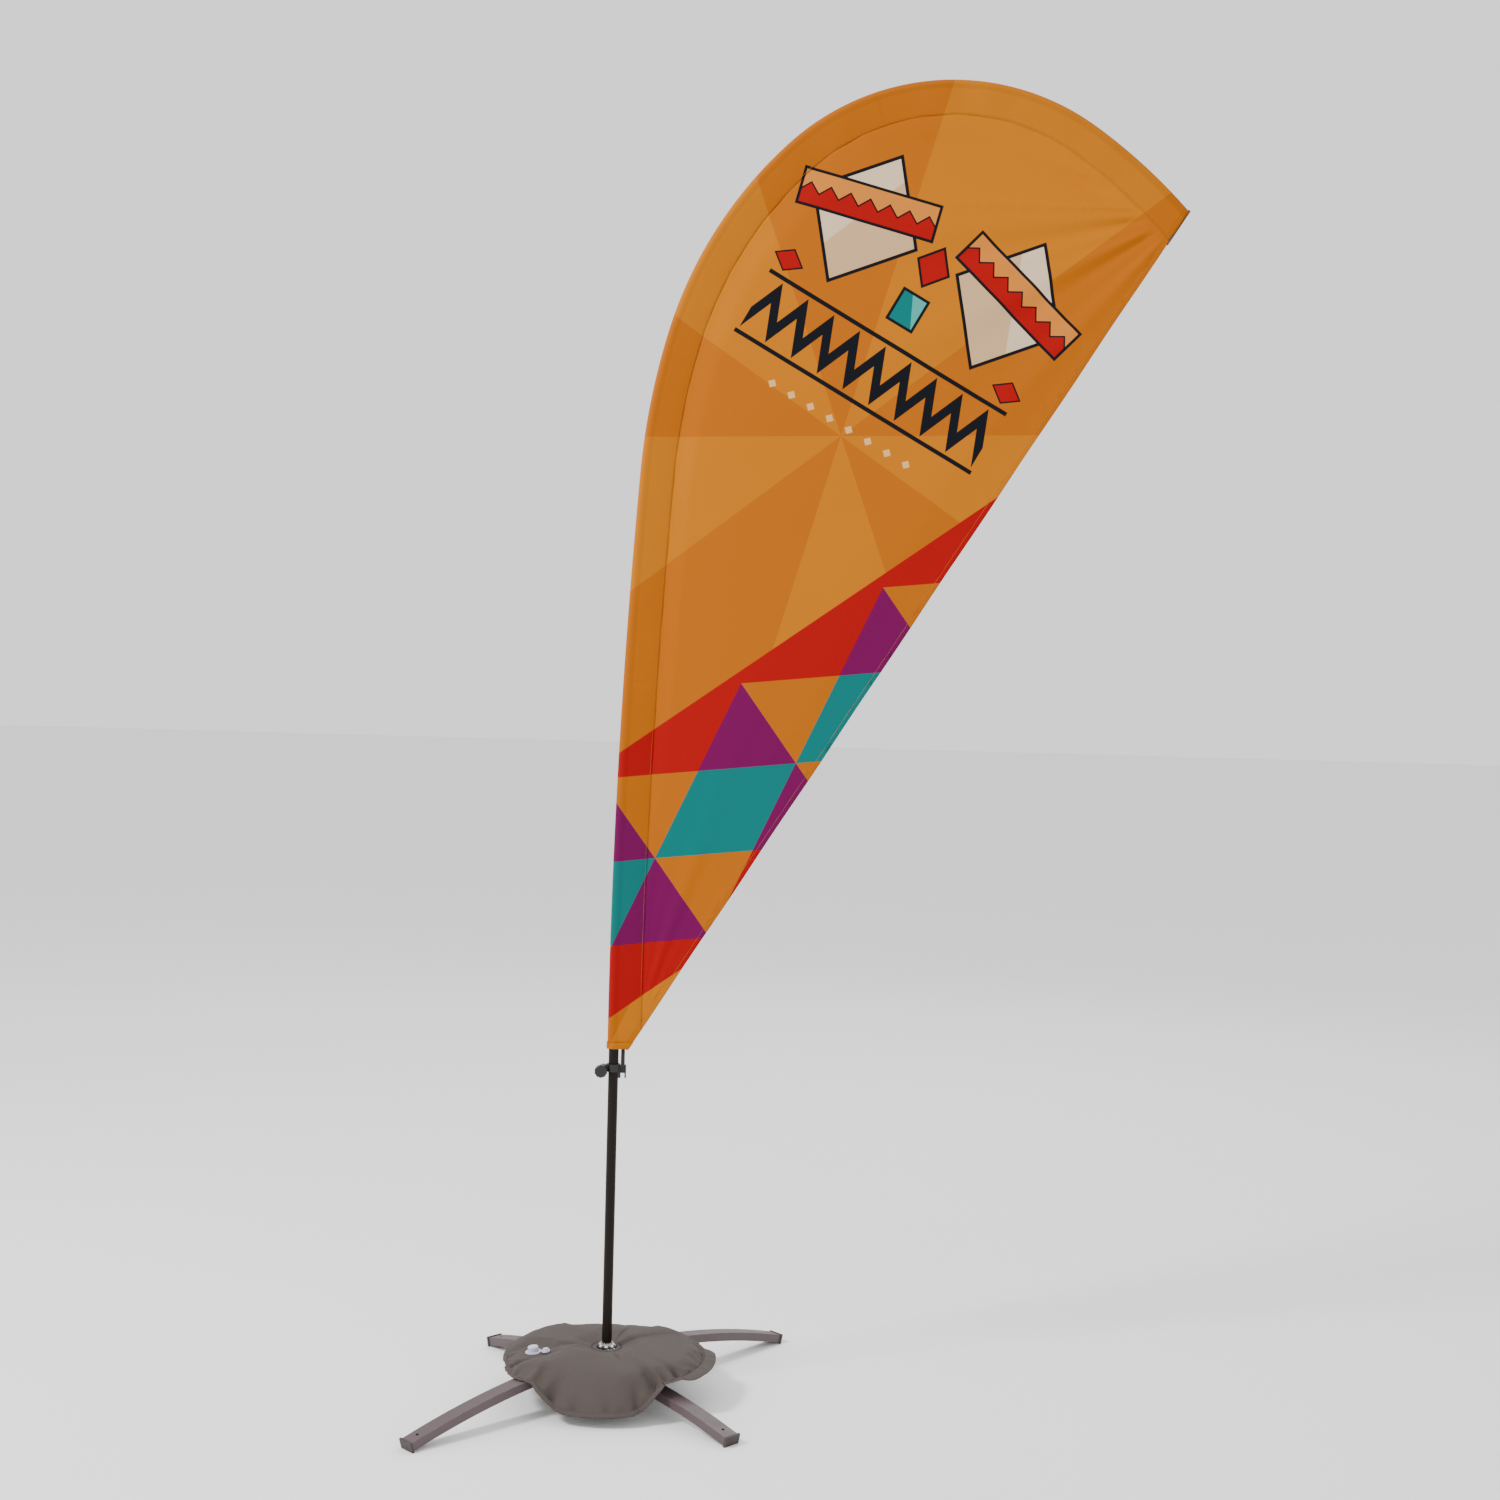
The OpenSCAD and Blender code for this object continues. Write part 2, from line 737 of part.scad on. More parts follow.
// Split ring on the mast, with two ears for the screw and a hook for the strap
module clamp_collar() {
    collar_r = 14.2;
    split = 2;
    ear_r = 10;
    ears_w = 16;
    hook_x = 6;
    hook_w = 12;
    hook_z = clamp_z - 13;
    hook_h = clamp_h + 11;
    tip_x = strap_x + strap_w + gap;
    tip_t = 3;
    far = 60;
    color("black")
        difference() {
            union() {
                translate([0, 0, clamp_z]) cylinder(r = collar_r, h = clamp_h);
                translate([screw_x, ears_w / 2, screw_z]) rotate([90, 0, 0])
                    cylinder(r = ear_r, h = ears_w);
                translate([screw_x, -ears_w / 2, clamp_z])
                    cube([-screw_x, ears_w, clamp_h - 2]);
                // Shoulder, bar and tip of the hook
                translate([hook_x, -hook_w / 2, hook_z])
                    cube([strap_x - gap - hook_x, hook_w, hook_h]);
                translate([hook_x, -hook_bar_r, hook_bar_z])
                    cube([tip_x - hook_x, 2 * hook_bar_r, clamp_h - hook_bar_r]);
                translate([hook_x, 0, hook_bar_z]) rotate([0, 90, 0])
                    cylinder(r = hook_bar_r, h = tip_x - hook_x);
                translate([tip_x, -hook_w / 2, hook_z]) cube([tip_t, hook_w, hook_h]);
            }
            translate([0, 0, clamp_z - far]) cylinder(r = pole_r + run, h = 2 * far);
            translate([-far, -split / 2, clamp_z - far]) cube([far, split, 2 * far]);
            translate([screw_x, far, screw_z]) rotate([90, 0, 0])
                cylinder(r = screw_r + run, h = 2 * far);
        }
}

// Everything on the screw's axis is drawn along +Z, then turned to point at -Y
module on_screw() {
    translate([screw_x, 0, screw_z]) rotate([90, 0, 0]) children();
}

module clamp_screw() {
    length = 28;
    color("silver") on_screw() translate([0, 0, -length / 2]) cylinder(r = screw_r, h = length);
}

// Round hand knob with a scalloped rim
module clamp_knob() {
    knob_r = 13.5;
    knob_h = 7;
    boss_r = 7;
    boss_h = 2;
    chamfer = 2;
    socket = 6;
    scallops = 10;
    scallop_r = 2.4;
    color("black")
        on_screw()
            translate([0, 0, 8.4])
                difference() {
                    union() {
                        cylinder(r = boss_r, h = boss_h + cut);
                        translate([0, 0, boss_h]) cylinder(r = knob_r, h = knob_h);
                        translate([0, 0, boss_h + knob_h])
                            cylinder(r1 = knob_r, r2 = knob_r - chamfer, h = chamfer);
                    }
                    translate([0, 0, -cut]) cylinder(r = screw_r + tight, h = socket + cut);
                    for (i = [0 : scallops - 1])
                        rotate([0, 0, i * 360 / scallops])
                            translate([knob_r + scallop_r - cut, 0, boss_h - cut])
                                cylinder(r = scallop_r, h = knob_h + chamfer + 3 * cut);
                }
}

module clamp_nut() {
    across = 5.2;
    thick = 4;
    color("silver")
        on_screw()
            translate([0, 0, -12.4])
                difference() {
                    cylinder(r = across, h = thick, $fn = 6);
                    translate([0, 0, -cut]) cylinder(r = screw_r + run, h = thick + 2 * cut);
                }
}

// ---------- weight bag ----------

binding_w = 6;
bag_inner_r = bag_hole_r + binding_w + gap;
// Room left over the bars, height of the rim over them and half of its thickness
bag_clear = 0.8;
rim_lift = 2.5;
rim_half = 1.2;
// How far from a bar's middle the bag starts to hang, and how far it takes to hang fully
bar_margin = 33;
hang_ramp = 34;
bag_spokes = 60;
bag_rings = 8;

function smooth(t) = let (k = min(1, max(0, t))) k * k * (3 - 2 * k);
// Outline radius of the bag at azimuth a
function rim_r(a) = bag_r - 7 * sin(a);
// Height of the upper bar's top at radius r, in whichever direction it is turned
function upper_bar_top(r) =
    let (big = bar_radius(upper_reach, upper_rise))
    upper_rise - big + sqrt((big + bar_h) * (big + bar_h) - r * r);
// 0 over the bars and where the upper bar folds, 1 in the middle of the open front and back
function hang(r, a) =
    let (t = a - upper_turn, to_upper = abs(r * sin(t)), to_lower = abs(r * cos(t)))
    sin(t) * cos(t) > 0 ? smooth((min(to_upper, to_lower) - bar_margin) / hang_ramp) : 0;
function rim_z(r, a) =
    let (level = upper_bar_top(r) + rim_lift)
    level + hang(r, a) * ((sin(a) < 0 ? front_rim : back_rim) - level);

// Part of the way from the hole to the rim
function way(r, a) = (r - bag_inner_r) / (rim_r(a) - bag_inner_r);
function bag_top_z(r, a) =
    bag_top - (bag_top - rim_z(rim_r(a), a) - rim_half) * pow(way(r, a), 4);
function bag_floor_z(r, a) =
    let (rest = upper_bar_top(r) + bag_clear,
         belly = sin(a) < 0 ? front_belly : back_belly,
         rim = rim_z(rim_r(a), a) - rim_half)
    rest + hang(r, a) * (belly + (rim - belly) * pow(way(r, a), 6) - rest);

// The filled bag, from its hole to its rim: rings of points out over the top, then back
// under the floor
module water_bag() {
    n = bag_spokes;
    rows = bag_rings + 1;
    under = rows * n;
    next = [for (j = [0 : n - 1]) (j + 1) % n];
    function radius(i, a) = bag_inner_r + pow(i / bag_rings, 0.8) * (rim_r(a) - bag_inner_r);
    upper = [for (i = [0 : bag_rings], j = [0 : n - 1])
        let (a = j * 360 / n, r = radius(i, a)) [r * cos(a), r * sin(a), bag_top_z(r, a)]];
    lower = [for (i = [0 : bag_rings], j = [0 : n - 1])
        let (a = j * 360 / n, r = radius(i, a)) [r * cos(a), r * sin(a), bag_floor_z(r, a)]];
    cells = [for (i = [0 : bag_rings - 1], j = [0 : n - 1]) [i * n, j]];
    faces = concat(
        [for (c = cells)
            [c[0] + c[1], c[0] + next[c[1]], c[0] + n + next[c[1]], c[0] + n + c[1]]],
        [for (c = cells)
            [under + c[0] + c[1], under + c[0] + n + c[1],
             under + c[0] + n + next[c[1]], under + c[0] + next[c[1]]]],
        [for (j = [0 : n - 1]) [j, under + j, under + next[j], next[j]]],
        [for (j = [0 : n - 1])
            let (e = bag_rings * n) [e + j, e + next[j], under + e + next[j], under + e + j]]);
    color("slategray") polyhedron(points = concat(upper, lower), faces = faces);
}

// Doubled edge around the hole for the mast
module bag_hole_binding() {
    foot = upper_top + bag_clear;
    head = bag_top + 0.5;
    color("slategray")
        translate([0, 0, foot]) ring(bag_hole_r, bag_hole_r + binding_w, head - foot);
}

// Loose lip of cloth over the slit at the right of the bag
module bag_flap() {
    from_a = -38;
    to_a = 12;
    flap_w = 23;
    flap_t = 2.4;
    color("slategray")
        translate([0, 0, upper_bar_top(bag_r) - 0.5])
            rotate([0, 0, from_a])
                rotate_extrude(angle = to_a - from_a, $fn = 96)
                    translate([bag_r + 5, 0]) square([flap_w, flap_t]);
}

filler_r = 155;
filler_a = 194;
filler_tilt = 6;
neck_bore_r = 5;
neck_r = 7;

// The frame of the filler: on the bag's top, leaning outwards with it
module on_filler() {
    rotate([0, 0, filler_a])
        translate([filler_r, 0, bag_top_z(filler_r, filler_a) + 0.5])
            rotate([0, filler_tilt, 0]) children();
}

module filler_neck() {
    color("white")
        on_filler() {
            ring(neck_bore_r, 17, 1.5);
            translate([0, 0, 1]) ring(neck_bore_r, neck_r, 8);
        }
}

module filler_cap() {
    cap_r = 11;
    skirt = 7;
    thread_h = 5.2;
    grip_cuts = 16;
    grip_r = 1.2;
    color("lavender")
        on_filler()
            translate([0, 0, 4.2])
                difference() {
                    union() {
                        cylinder(r = cap_r, h = skirt);
                        translate([0, 0, skirt - 1]) cylinder(r = cap_r - 1, h = 2);
                    }
                    translate([0, 0, -cut]) cylinder(r = neck_r + run, h = thread_h + cut);
                    for (i = [0 : grip_cuts - 1])
                        rotate([0, 0, i * 360 / grip_cuts])
                            translate([cap_r + grip_r / 2, 0, -cut])
                                cylinder(r = grip_r, h = skirt - 0.5);
                }
}

// Strap from the neck to a spare stopper that lies on the bag
module cap_tether() {
    collar_z = 1.6;
    tether_w = 6;
    stopper_x = 28;
    color("lavender")
        on_filler() {
            translate([0, 0, collar_z]) ring(neck_r + gap, 11, 1.8);
            rotate([0, 0, 150]) {
                translate([9.5, -tether_w / 2, collar_z + 0.2]) cube([12, tether_w, 1.4]);
                translate([stopper_x, 0, collar_z]) {
                    cylinder(r = 9, h = 3);
                    translate([0, 0, 1]) cylinder(r = 5.5, h = 6);
                }
            }
        }
}

lower_bar();
upper_bar();
lower_bar_end_caps();
upper_bar_end_caps();
lower_bar_bushing();
upper_bar_bushing();
pivot_spacer();
pivot_bolt();
pivot_washer();
pivot_nut();
fluted_hub();
bearing_outer_race();
bearing_balls();
bearing_circlip();
bearing_inner_race();
spindle();
spindle_crown();
spindle_o_rings();
pole_section_1();
pole_section_2();
pole_section_3();
pole_section_4();
pole_section_5();
pole_ferrules();
pole_tip_cap();
pole_sleeve();
flag_panel();
free_edge_hem();
bottom_hem();
tip_pocket();
corner_patch();
tension_strap();
clamp_collar();
clamp_screw();
clamp_knob();
clamp_nut();
water_bag();
bag_hole_binding();
bag_flap();
filler_neck();
filler_cap();
cap_tether();
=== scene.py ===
"""Looks of a teardrop flag: print, cloth, webbing, weight bag and finishes around its CAD frame."""
import json
import math
from functools import partialmethod

import bpy
import numpy as np
from mathutils import Matrix, Vector


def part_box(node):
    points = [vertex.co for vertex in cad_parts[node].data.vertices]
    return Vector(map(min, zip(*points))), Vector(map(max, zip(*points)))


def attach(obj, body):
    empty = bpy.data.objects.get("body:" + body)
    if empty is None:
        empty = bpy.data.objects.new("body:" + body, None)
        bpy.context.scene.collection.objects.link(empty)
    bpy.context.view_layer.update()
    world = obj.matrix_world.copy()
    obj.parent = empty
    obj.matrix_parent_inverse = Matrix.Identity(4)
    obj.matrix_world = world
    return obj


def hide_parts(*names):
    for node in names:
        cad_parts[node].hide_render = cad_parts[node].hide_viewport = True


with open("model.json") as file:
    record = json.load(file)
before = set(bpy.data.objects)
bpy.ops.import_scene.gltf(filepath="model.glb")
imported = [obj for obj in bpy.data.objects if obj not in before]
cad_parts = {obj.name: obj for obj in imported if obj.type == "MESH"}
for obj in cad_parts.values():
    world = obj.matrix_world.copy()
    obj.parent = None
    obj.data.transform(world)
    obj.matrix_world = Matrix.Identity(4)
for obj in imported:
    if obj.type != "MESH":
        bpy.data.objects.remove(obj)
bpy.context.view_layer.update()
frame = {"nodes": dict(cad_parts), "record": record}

MM = 0.001
NODES = frame["nodes"]

# ---------- the mast's path, in the XZ plane, in metres ----------

STRAIGHT_TOP = 0.800
BENDS = [(16.2, 4.0), (1.4, 12.0), (0.845, 31.0), (0.490, 77.0), (1.130, 13.0)]
BENDS = [(radius, math.radians(sweep)) for radius, sweep in BENDS]
TIP_S = STRAIGHT_TOP + sum(radius * sweep for radius, sweep in BENDS)
POLE_R = [10.5 * MM, 8.6 * MM, 7.1 * MM, 5.8 * MM, 4.6 * MM]
# The lowest section ends where the bends start, and the other four are equally long
TIP_CAP = 26 * MM
SECTION_LENGTH = (TIP_S - TIP_CAP - STRAIGHT_TOP) / 4

SLEEVE_W = 57 * MM
SLEEVE_R = 13.4 * MM
CLOTH = 0.6 * MM
HEM_W = 12 * MM
FOOT_Z = 0.732


def mast_frame(s):
    """Centre and the direction across the mast, towards the flag, at the length s along it."""
    if s <= STRAIGHT_TOP:
        return np.array([0.0, s]), np.array([1.0, 0.0])
    knot = np.array([0.0, STRAIGHT_TOP])
    lean = 0.0
    left = s - STRAIGHT_TOP
    for radius, sweep in BENDS:
        turn = min(sweep, left / radius)
        end = lean + turn
        centre = knot + radius * np.array([math.cos(lean), -math.sin(lean)])
        knot = centre + radius * np.array([-math.cos(end), math.sin(end)])
        left -= radius * turn
        lean = end
        if left <= 1e-9:
            break
    along = np.array([math.sin(lean), math.cos(lean)])
    knot = knot + max(left, 0.0) * along
    return knot, np.array([math.cos(lean), -math.sin(lean)])


def pole_radius(s):
    """Radius of the section of pole at the length s."""
    section = int((s - STRAIGHT_TOP) / SECTION_LENGTH) + 1
    return POLE_R[min(max(section, 0), 4)]


# The free edge is a straight line from the flag's foot to its tip
FOOT = np.array([28 * MM, 726 * MM])
TIP = mast_frame(TIP_S)[0] - 14 * MM * mast_frame(TIP_S)[1]
EDGE_LENGTH = float(np.linalg.norm(TIP - FOOT))
EDGE_DIR = (TIP - FOOT) / EDGE_LENGTH
EDGE_OUT = np.array([EDGE_DIR[1], -EDGE_DIR[0]])


def past_tip(u):
    """How far beyond the tip's station a line at the distance u from the mast meets the edge."""
    centre, across = mast_frame(TIP_S)
    along = np.array([-across[1], across[0]])
    flat = centre + across * u
    return float((FOOT - flat) @ EDGE_OUT) / float(along @ EDGE_OUT)


def sleeve_width(s):
    """How far the sleeve reaches from the mast's centre line: to its seam, or to the free edge."""
    centre, across = mast_frame(s)
    facing = float(across @ EDGE_OUT)
    if facing <= 0:
        return SLEEVE_W
    return min(SLEEVE_W, float((FOOT - centre) @ EDGE_OUT) / facing)


# ---------- meshes ----------


def new_object(name, verts, faces, material):
    """A smooth-shaded mesh object in the scene."""
    mesh = bpy.data.meshes.new(name)
    mesh.from_pydata([tuple(map(float, v)) for v in verts], [], [tuple(map(int, f)) for f in faces])
    mesh.update()
    piece = bpy.data.objects.new(name, mesh)
    bpy.context.scene.collection.objects.link(piece)
    mesh.materials.append(material)
    mesh.polygons.foreach_set("use_smooth", [True] * len(mesh.polygons))
    return piece


def grid_faces(rows, columns, wrap_rows=False, wrap_columns=False, start=0):
    """Quads of a grid of rows x columns points, numbered row by row."""
    faces = []
    for i in range(rows if wrap_rows else rows - 1):
        for j in range(columns if wrap_columns else columns - 1):
            a = start + i * columns + j
            b = start + i * columns + (j + 1) % columns
            c = start + ((i + 1) % rows) * columns + (j + 1) % columns
            d = start + ((i + 1) % rows) * columns + j
            faces.append((a, b, c, d))
    return faces


def closed_tube(rings, points):
    """Faces of a tube of rings, each of the same number of points, with both ends closed."""
    faces = grid_faces(rings, points, wrap_columns=True)
    faces.append(tuple(range(points - 1, -1, -1)))
    faces.append(tuple((rings - 1) * points + k for k in range(points)))
    return faces


def add_field(piece, name, values):
    """Stores a number on each point, or one for all, which the materials read by name."""
    attribute = piece.data.attributes.new(name, "FLOAT", "POINT")
    values = np.broadcast_to(values, len(piece.data.vertices))
    attribute.data.foreach_set("value", [float(v) for v in values])


def place_on_flag(piece, reach, rim, pole):
    """Tells the printed cloth how far each point is from the mast's line and from the free
    edge, and the radius of the pole under it."""
    add_field(piece, "reach", reach)
    add_field(piece, "rim", rim)
    add_field(piece, "pole", pole)


def thicken(piece, thickness, offset=0.0):
    """Gives a sheet its thickness: half on each side, or all of it outside for an offset of 1."""
    modifier = piece.modifiers.new("Cloth thickness", "SOLIDIFY")
    modifier.thickness = thickness
    modifier.offset = offset


def smooth_step(t):
    """0 up to 0, 1 from 1 on, and an even ramp between them."""
    t = np.clip(t, 0.0, 1.0)
    return t * t * (3 - 2 * t)


def stitches(name, stations, material, length=3.2 * MM, width=0.9 * MM, rise=0.5 * MM):
    """A row of raised thread stitches. Each station is a place, the row's direction and the
    cloth's outward direction."""
    ends = (-1, -0.55, 0.55, 1)
    end_width = 0.35
    shoulder = 0.45
    sunk = 0.15 * MM
    verts = []
    faces = []
    for place, along, out in stations:
        side = np.cross(out, along)
        base = len(verts)
        for end in ends:
            tip = abs(end) == 1
            half = width / 2 * (end_width if tip else 1.0)
            lift = 0.0 if tip else rise
            for across in (-1, 0, 1):
                top = lift * (1.0 if across == 0 else shoulder)
                verts.append(place + along * end * length / 2 + side * across * half + out * top)
        for end in ends:
            verts.append(place + along * end * length / 2 - out * sunk)
        for i in range(3):
            a = base + 3 * i
            low = base + 12 + i
            faces += [(a, a + 1, a + 4, a + 3), (a + 1, a + 2, a + 5, a + 4)]
            faces += [(a, a + 3, low + 1, low), (a + 2, low, low + 1, a + 5)]
        faces += [(base, base + 12, base + 1), (base + 1, base + 12, base + 2)]
        faces += [(base + 9, base + 10, base + 15), (base + 10, base + 11, base + 15)]
    return new_object(name, verts, faces, material)


# ---------- materials ----------


def feed(tree, value, target):
    """Links a varying value to a node's input, or sets a constant one on it."""
    if isinstance(value, Field):
        value = value.socket
    if isinstance(value, bpy.types.NodeSocket):
        tree.links.new(value, target)
    else:
        target.default_value = value


class Field:
    """A number that varies over a surface. Arithmetic on it adds Math nodes to its material."""

    def __init__(self, tree, socket):
        self.tree = tree
        self.socket = socket

    def maths(self, operation, *others):
        node = self.tree.nodes.new("ShaderNodeMath")
        node.operation = operation
        for slot, value in enumerate((self,) + others):
            feed(self.tree, value, node.inputs[slot])
        return Field(self.tree, node.outputs[0])

    __add__ = partialmethod(maths, "ADD")
    __sub__ = partialmethod(maths, "SUBTRACT")
    __mul__ = partialmethod(maths, "MULTIPLY")
    __truediv__ = partialmethod(maths, "DIVIDE")
    __lt__ = partialmethod(maths, "LESS_THAN")
    __gt__ = partialmethod(maths, "GREATER_THAN")
    __abs__ = partialmethod(maths, "ABSOLUTE")
    fract = partialmethod(maths, "FRACT")
    least = partialmethod(maths, "MINIMUM")
    most = partialmethod(maths, "MAXIMUM")

    def inside(self, edge, softness):
        """1 where the field is below edge, 0 above it, with a soft border."""
        return ((self - edge) / -softness + 0.5).most(0.0).least(1.0)


class Material:
    """A Principled material under construction, with short calls for the textures it uses."""

    def __init__(self, name, **settings):
        self.data = bpy.data.materials.new(name)
        self.data.use_nodes = True
        self.tree = self.data.node_tree
        self.shader = self.tree.nodes["Principled BSDF"]
        self.where = self.tree.nodes.new("ShaderNodeTexCoord").outputs["Object"]
        for socket, value in settings.items():
            self.shader.inputs[socket.replace("_", " ")].default_value = value
        self.split = self.tree.nodes.new("ShaderNodeSeparateXYZ")
        self.link(self.where, self.split.inputs[0])
        self.height = None

    def link(self, source, target):
        self.tree.links.new(source, target)

    def axis(self, letter):
        return Field(self.tree, self.split.outputs[letter])

    def stored(self, name):
        """A number that add_field keeps on the piece, or 0 where there is none."""
        node = self.tree.nodes.new("ShaderNodeAttribute")
        node.attribute_name = name
        return Field(self.tree, node.outputs["Fac"])

    def noise(self, scale, detail=3.0, stretch=(1, 1, 1)):
        place = self.tree.nodes.new("ShaderNodeMapping")
        place.inputs["Scale"].default_value = stretch
        self.link(self.where, place.inputs["Vector"])
        node = self.tree.nodes.new("ShaderNodeTexNoise")
        node.inputs["Scale"].default_value = scale
        node.inputs["Detail"].default_value = detail
        self.link(place.outputs[0], node.inputs["Vector"])
        return Field(self.tree, node.outputs["Fac"])

    def threads(self, pitch, letters):
        """Rows of threads along two axes, over and under, as a height from -1 to 1."""
        turns = 2 * math.pi / pitch
        one = (self.axis(letters[0]) * turns).maths("SINE")
        two = (self.axis(letters[1]) * turns).maths("SINE")
        return one * two

    def mix(self, amount, first, second):
        """The first colour where amount is 0, the second where it is 1."""
        node = self.tree.nodes.new("ShaderNodeMix")
        node.data_type = "RGBA"
        for value, slot in ((amount, 0), (first, 6), (second, 7)):
            value = (*value, 1.0) if isinstance(value, tuple) else value
            feed(self.tree, value, node.inputs[slot])
        return node.outputs[2]

    def shade(self, colour, factor):
        """The colour times a varying factor."""
        node = self.tree.nodes.new("ShaderNodeVectorMath")
        node.operation = "SCALE"
        feed(self.tree, colour, node.inputs[0])
        feed(self.tree, factor, node.inputs["Scale"])
        return node.outputs[0]

    def colour(self, socket):
        self.link(socket, self.shader.inputs["Base Color"])

    def roughness(self, field):
        self.link(field.socket, self.shader.inputs["Roughness"])

    def bump(self, field, distance, strength):
        """Adds relief, on top of any that the material has."""
        node = self.tree.nodes.new("ShaderNodeBump")
        node.inputs["Distance"].default_value = distance
        node.inputs["Strength"].default_value = strength
        self.link(field.socket, node.inputs["Height"])
        if self.height is not None:
            self.link(self.height, node.inputs["Normal"])
        self.height = node.outputs[0]
        self.link(self.height, self.shader.inputs["Normal"])

    def edge_wear(self, radius, width=0.08):
        """1 along sharp edges, 0 on the faces beside them."""
        bevel = self.tree.nodes.new("ShaderNodeBevel")
        bevel.inputs["Radius"].default_value = radius
        plain = self.tree.nodes.new("ShaderNodeNewGeometry")
        dot = self.tree.nodes.new("ShaderNodeVectorMath")
        dot.operation = "DOT_PRODUCT"
        self.link(bevel.outputs[0], dot.inputs[0])
        self.link(plain.outputs["Normal"], dot.inputs[1])
        edge = (Field(self.tree, dot.outputs["Value"]) * -1.0 + 1.0) / width
        return edge.least(1.0)


def srgb(red, green, blue):
    """Linear colour of a 0 to 255 screen colour."""
    values = [c / 255 for c in (red, green, blue)]
    return tuple(v / 12.92 if v < 0.04045 else ((v + 0.055) / 1.055) ** 2.4 for v in values)


# The print's colours, linear
YELLOW = (0.43, 0.130, 0.0)
ORANGE = (0.37, 0.096, 0.0)
RED = (0.30, 0.001, 0.002)
PURPLE = (0.120, 0.0, 0.058)
TEAL = (0.0, 0.125, 0.120)
CREAM = (0.50, 0.32, 0.17)
PALE = (0.60, 0.45, 0.31)
INK = (0.003, 0.004, 0.007)
SAND = (0.52, 0.17, 0.02)
SHINE = (0.05, 0.30, 0.27)
DOT = (0.62, 0.36, 0.14)

# The sunburst's centre, in metres across and up, its wedges and the first wedge's edge
SUN = (0.438, 2.017)
WEDGE = math.radians(36)
WEDGE_START = math.radians(1.8)
# The band of triangles: a corner of its lattice and the lattice's two steps
LATTICE = (0.076, 1.133)
STEP_P = (0.288, 0.206)
STEP_Q = (0.170, 0.369)
BAND_MARGIN = 0.11
# The emblem's centre and the slope of its rows
EMBLEM = (0.495, 2.150)
EMBLEM_TILT = math.radians(-29.6)
PRINT_EDGE = 0.8 * MM


def sunburst(m, x, z):
    """Wedges of two yellows round one point."""
    angle = (z - SUN[1]).maths("ARCTAN2", x - SUN[0])
    wedge = (angle - WEDGE_START) / (2 * WEDGE)
    return m.mix(wedge.fract() < 0.5, YELLOW, ORANGE)


def triangle_band(m, x, z, ground):
    """Two rows of cells of a skewed lattice, each cut into triangles, between two red strips."""
    area = STEP_P[0] * STEP_Q[1] - STEP_P[1] * STEP_Q[0]
    dx = x - LATTICE[0]
    dz = z - LATTICE[1]
    p = dx * (STEP_Q[1] / area) - dz * (STEP_Q[0] / area)
    q = dz * (STEP_P[0] / area) - dx * (STEP_P[1] / area)
    fp = p.fract()
    fq = q.fract()
    high = q > 0.0
    low_side = m.mix(high, RED, TEAL)
    high_side = m.mix(high, TEAL, RED)
    colour = m.mix((fp + fq * 2.0) < 2.0, high_side, ORANGE)
    colour = m.mix((fp + fq) < 1.0, colour, PURPLE)
    colour = m.mix((fp + fq * 2.0) < 1.0, colour, low_side)
    rows = abs(q)
    colour = m.mix(rows > 1.0, colour, RED)
    below = m.mix(fp < 0.5, YELLOW, ORANGE)
    ground = m.mix(q < 0.0, ground, below)
    return m.mix(rows > 1.0 + BAND_MARGIN, colour, ground)


def painted(m, under, distance, colour):
    """Paints a shape, given as a distance from its border."""
    return m.mix(distance.inside(0.0, PRINT_EDGE), under, colour)


def outlined(m, under, distance, inner, line):
    """Paints a shape with a dark line around it."""
    under = m.mix(distance.inside(line, PRINT_EDGE), under, INK)
    return painted(m, under, distance, inner)


def zigzag(along, pitch, height):
    """A triangle wave of the given pitch and height, about 0."""
    return abs((along / pitch).fract() - 0.5) * (2 * height) - height / 2


def banded_diamonds(m, colour, mirror, up):
    """A pale diamond at each side, crossed by a tilted band with a zigzag along it."""
    half_w, half_h = 0.118, 0.142
    centre_x, centre_y = 0.172, 0.262
    di = mirror - centre_x
    dj = up - centre_y
    scale = math.hypot(half_w, half_h) / (half_w * half_h)
    diamond = (abs(di) / half_w + abs(dj) / half_h - 1.0) / scale
    facet = m.mix((di + dj * 0.4) > 0.012, CREAM, PALE)
    colour = outlined(m, colour, diamond, facet, 7 * MM)

    cos, sin = math.cos(math.radians(15)), math.sin(math.radians(15))
    band_half_l, band_half_w, band_up = 0.142, 0.034, 0.030
    tooth_pitch, tooth_height = 0.042, 0.021
    ti = di * cos - dj * sin
    tj = di * sin + dj * cos - band_up
    band = (abs(tj) - band_half_w).most(abs(ti) - band_half_l)
    teeth = tj - zigzag(ti, tooth_pitch, tooth_height)
    stripe = m.mix(teeth > 0.0, RED, SAND)
    stripe = m.mix(abs(teeth) < 2.2 * MM, stripe, INK)
    return outlined(m, colour, band, stripe, 6 * MM)


def small_gems(m, colour, mirror, along, up):
    """A red diamond and a square tile between the two big diamonds, and one more at each side."""
    gem = (mirror * 1.25 + abs(up - 0.250)) / 1.6 - 0.026
    colour = outlined(m, colour, gem, RED, 5 * MM)
    tile = (mirror - 0.026).most(abs(up - 0.148) - 0.032)
    glaze = m.mix((up * 0.5 + along) > 0.083, TEAL, SHINE)
    colour = outlined(m, colour, tile, glaze, 6 * MM)
    side = abs(mirror - 0.262) * 0.75 + abs(up - 0.108) - 0.022
    return outlined(m, colour, side, RED, 4 * MM)


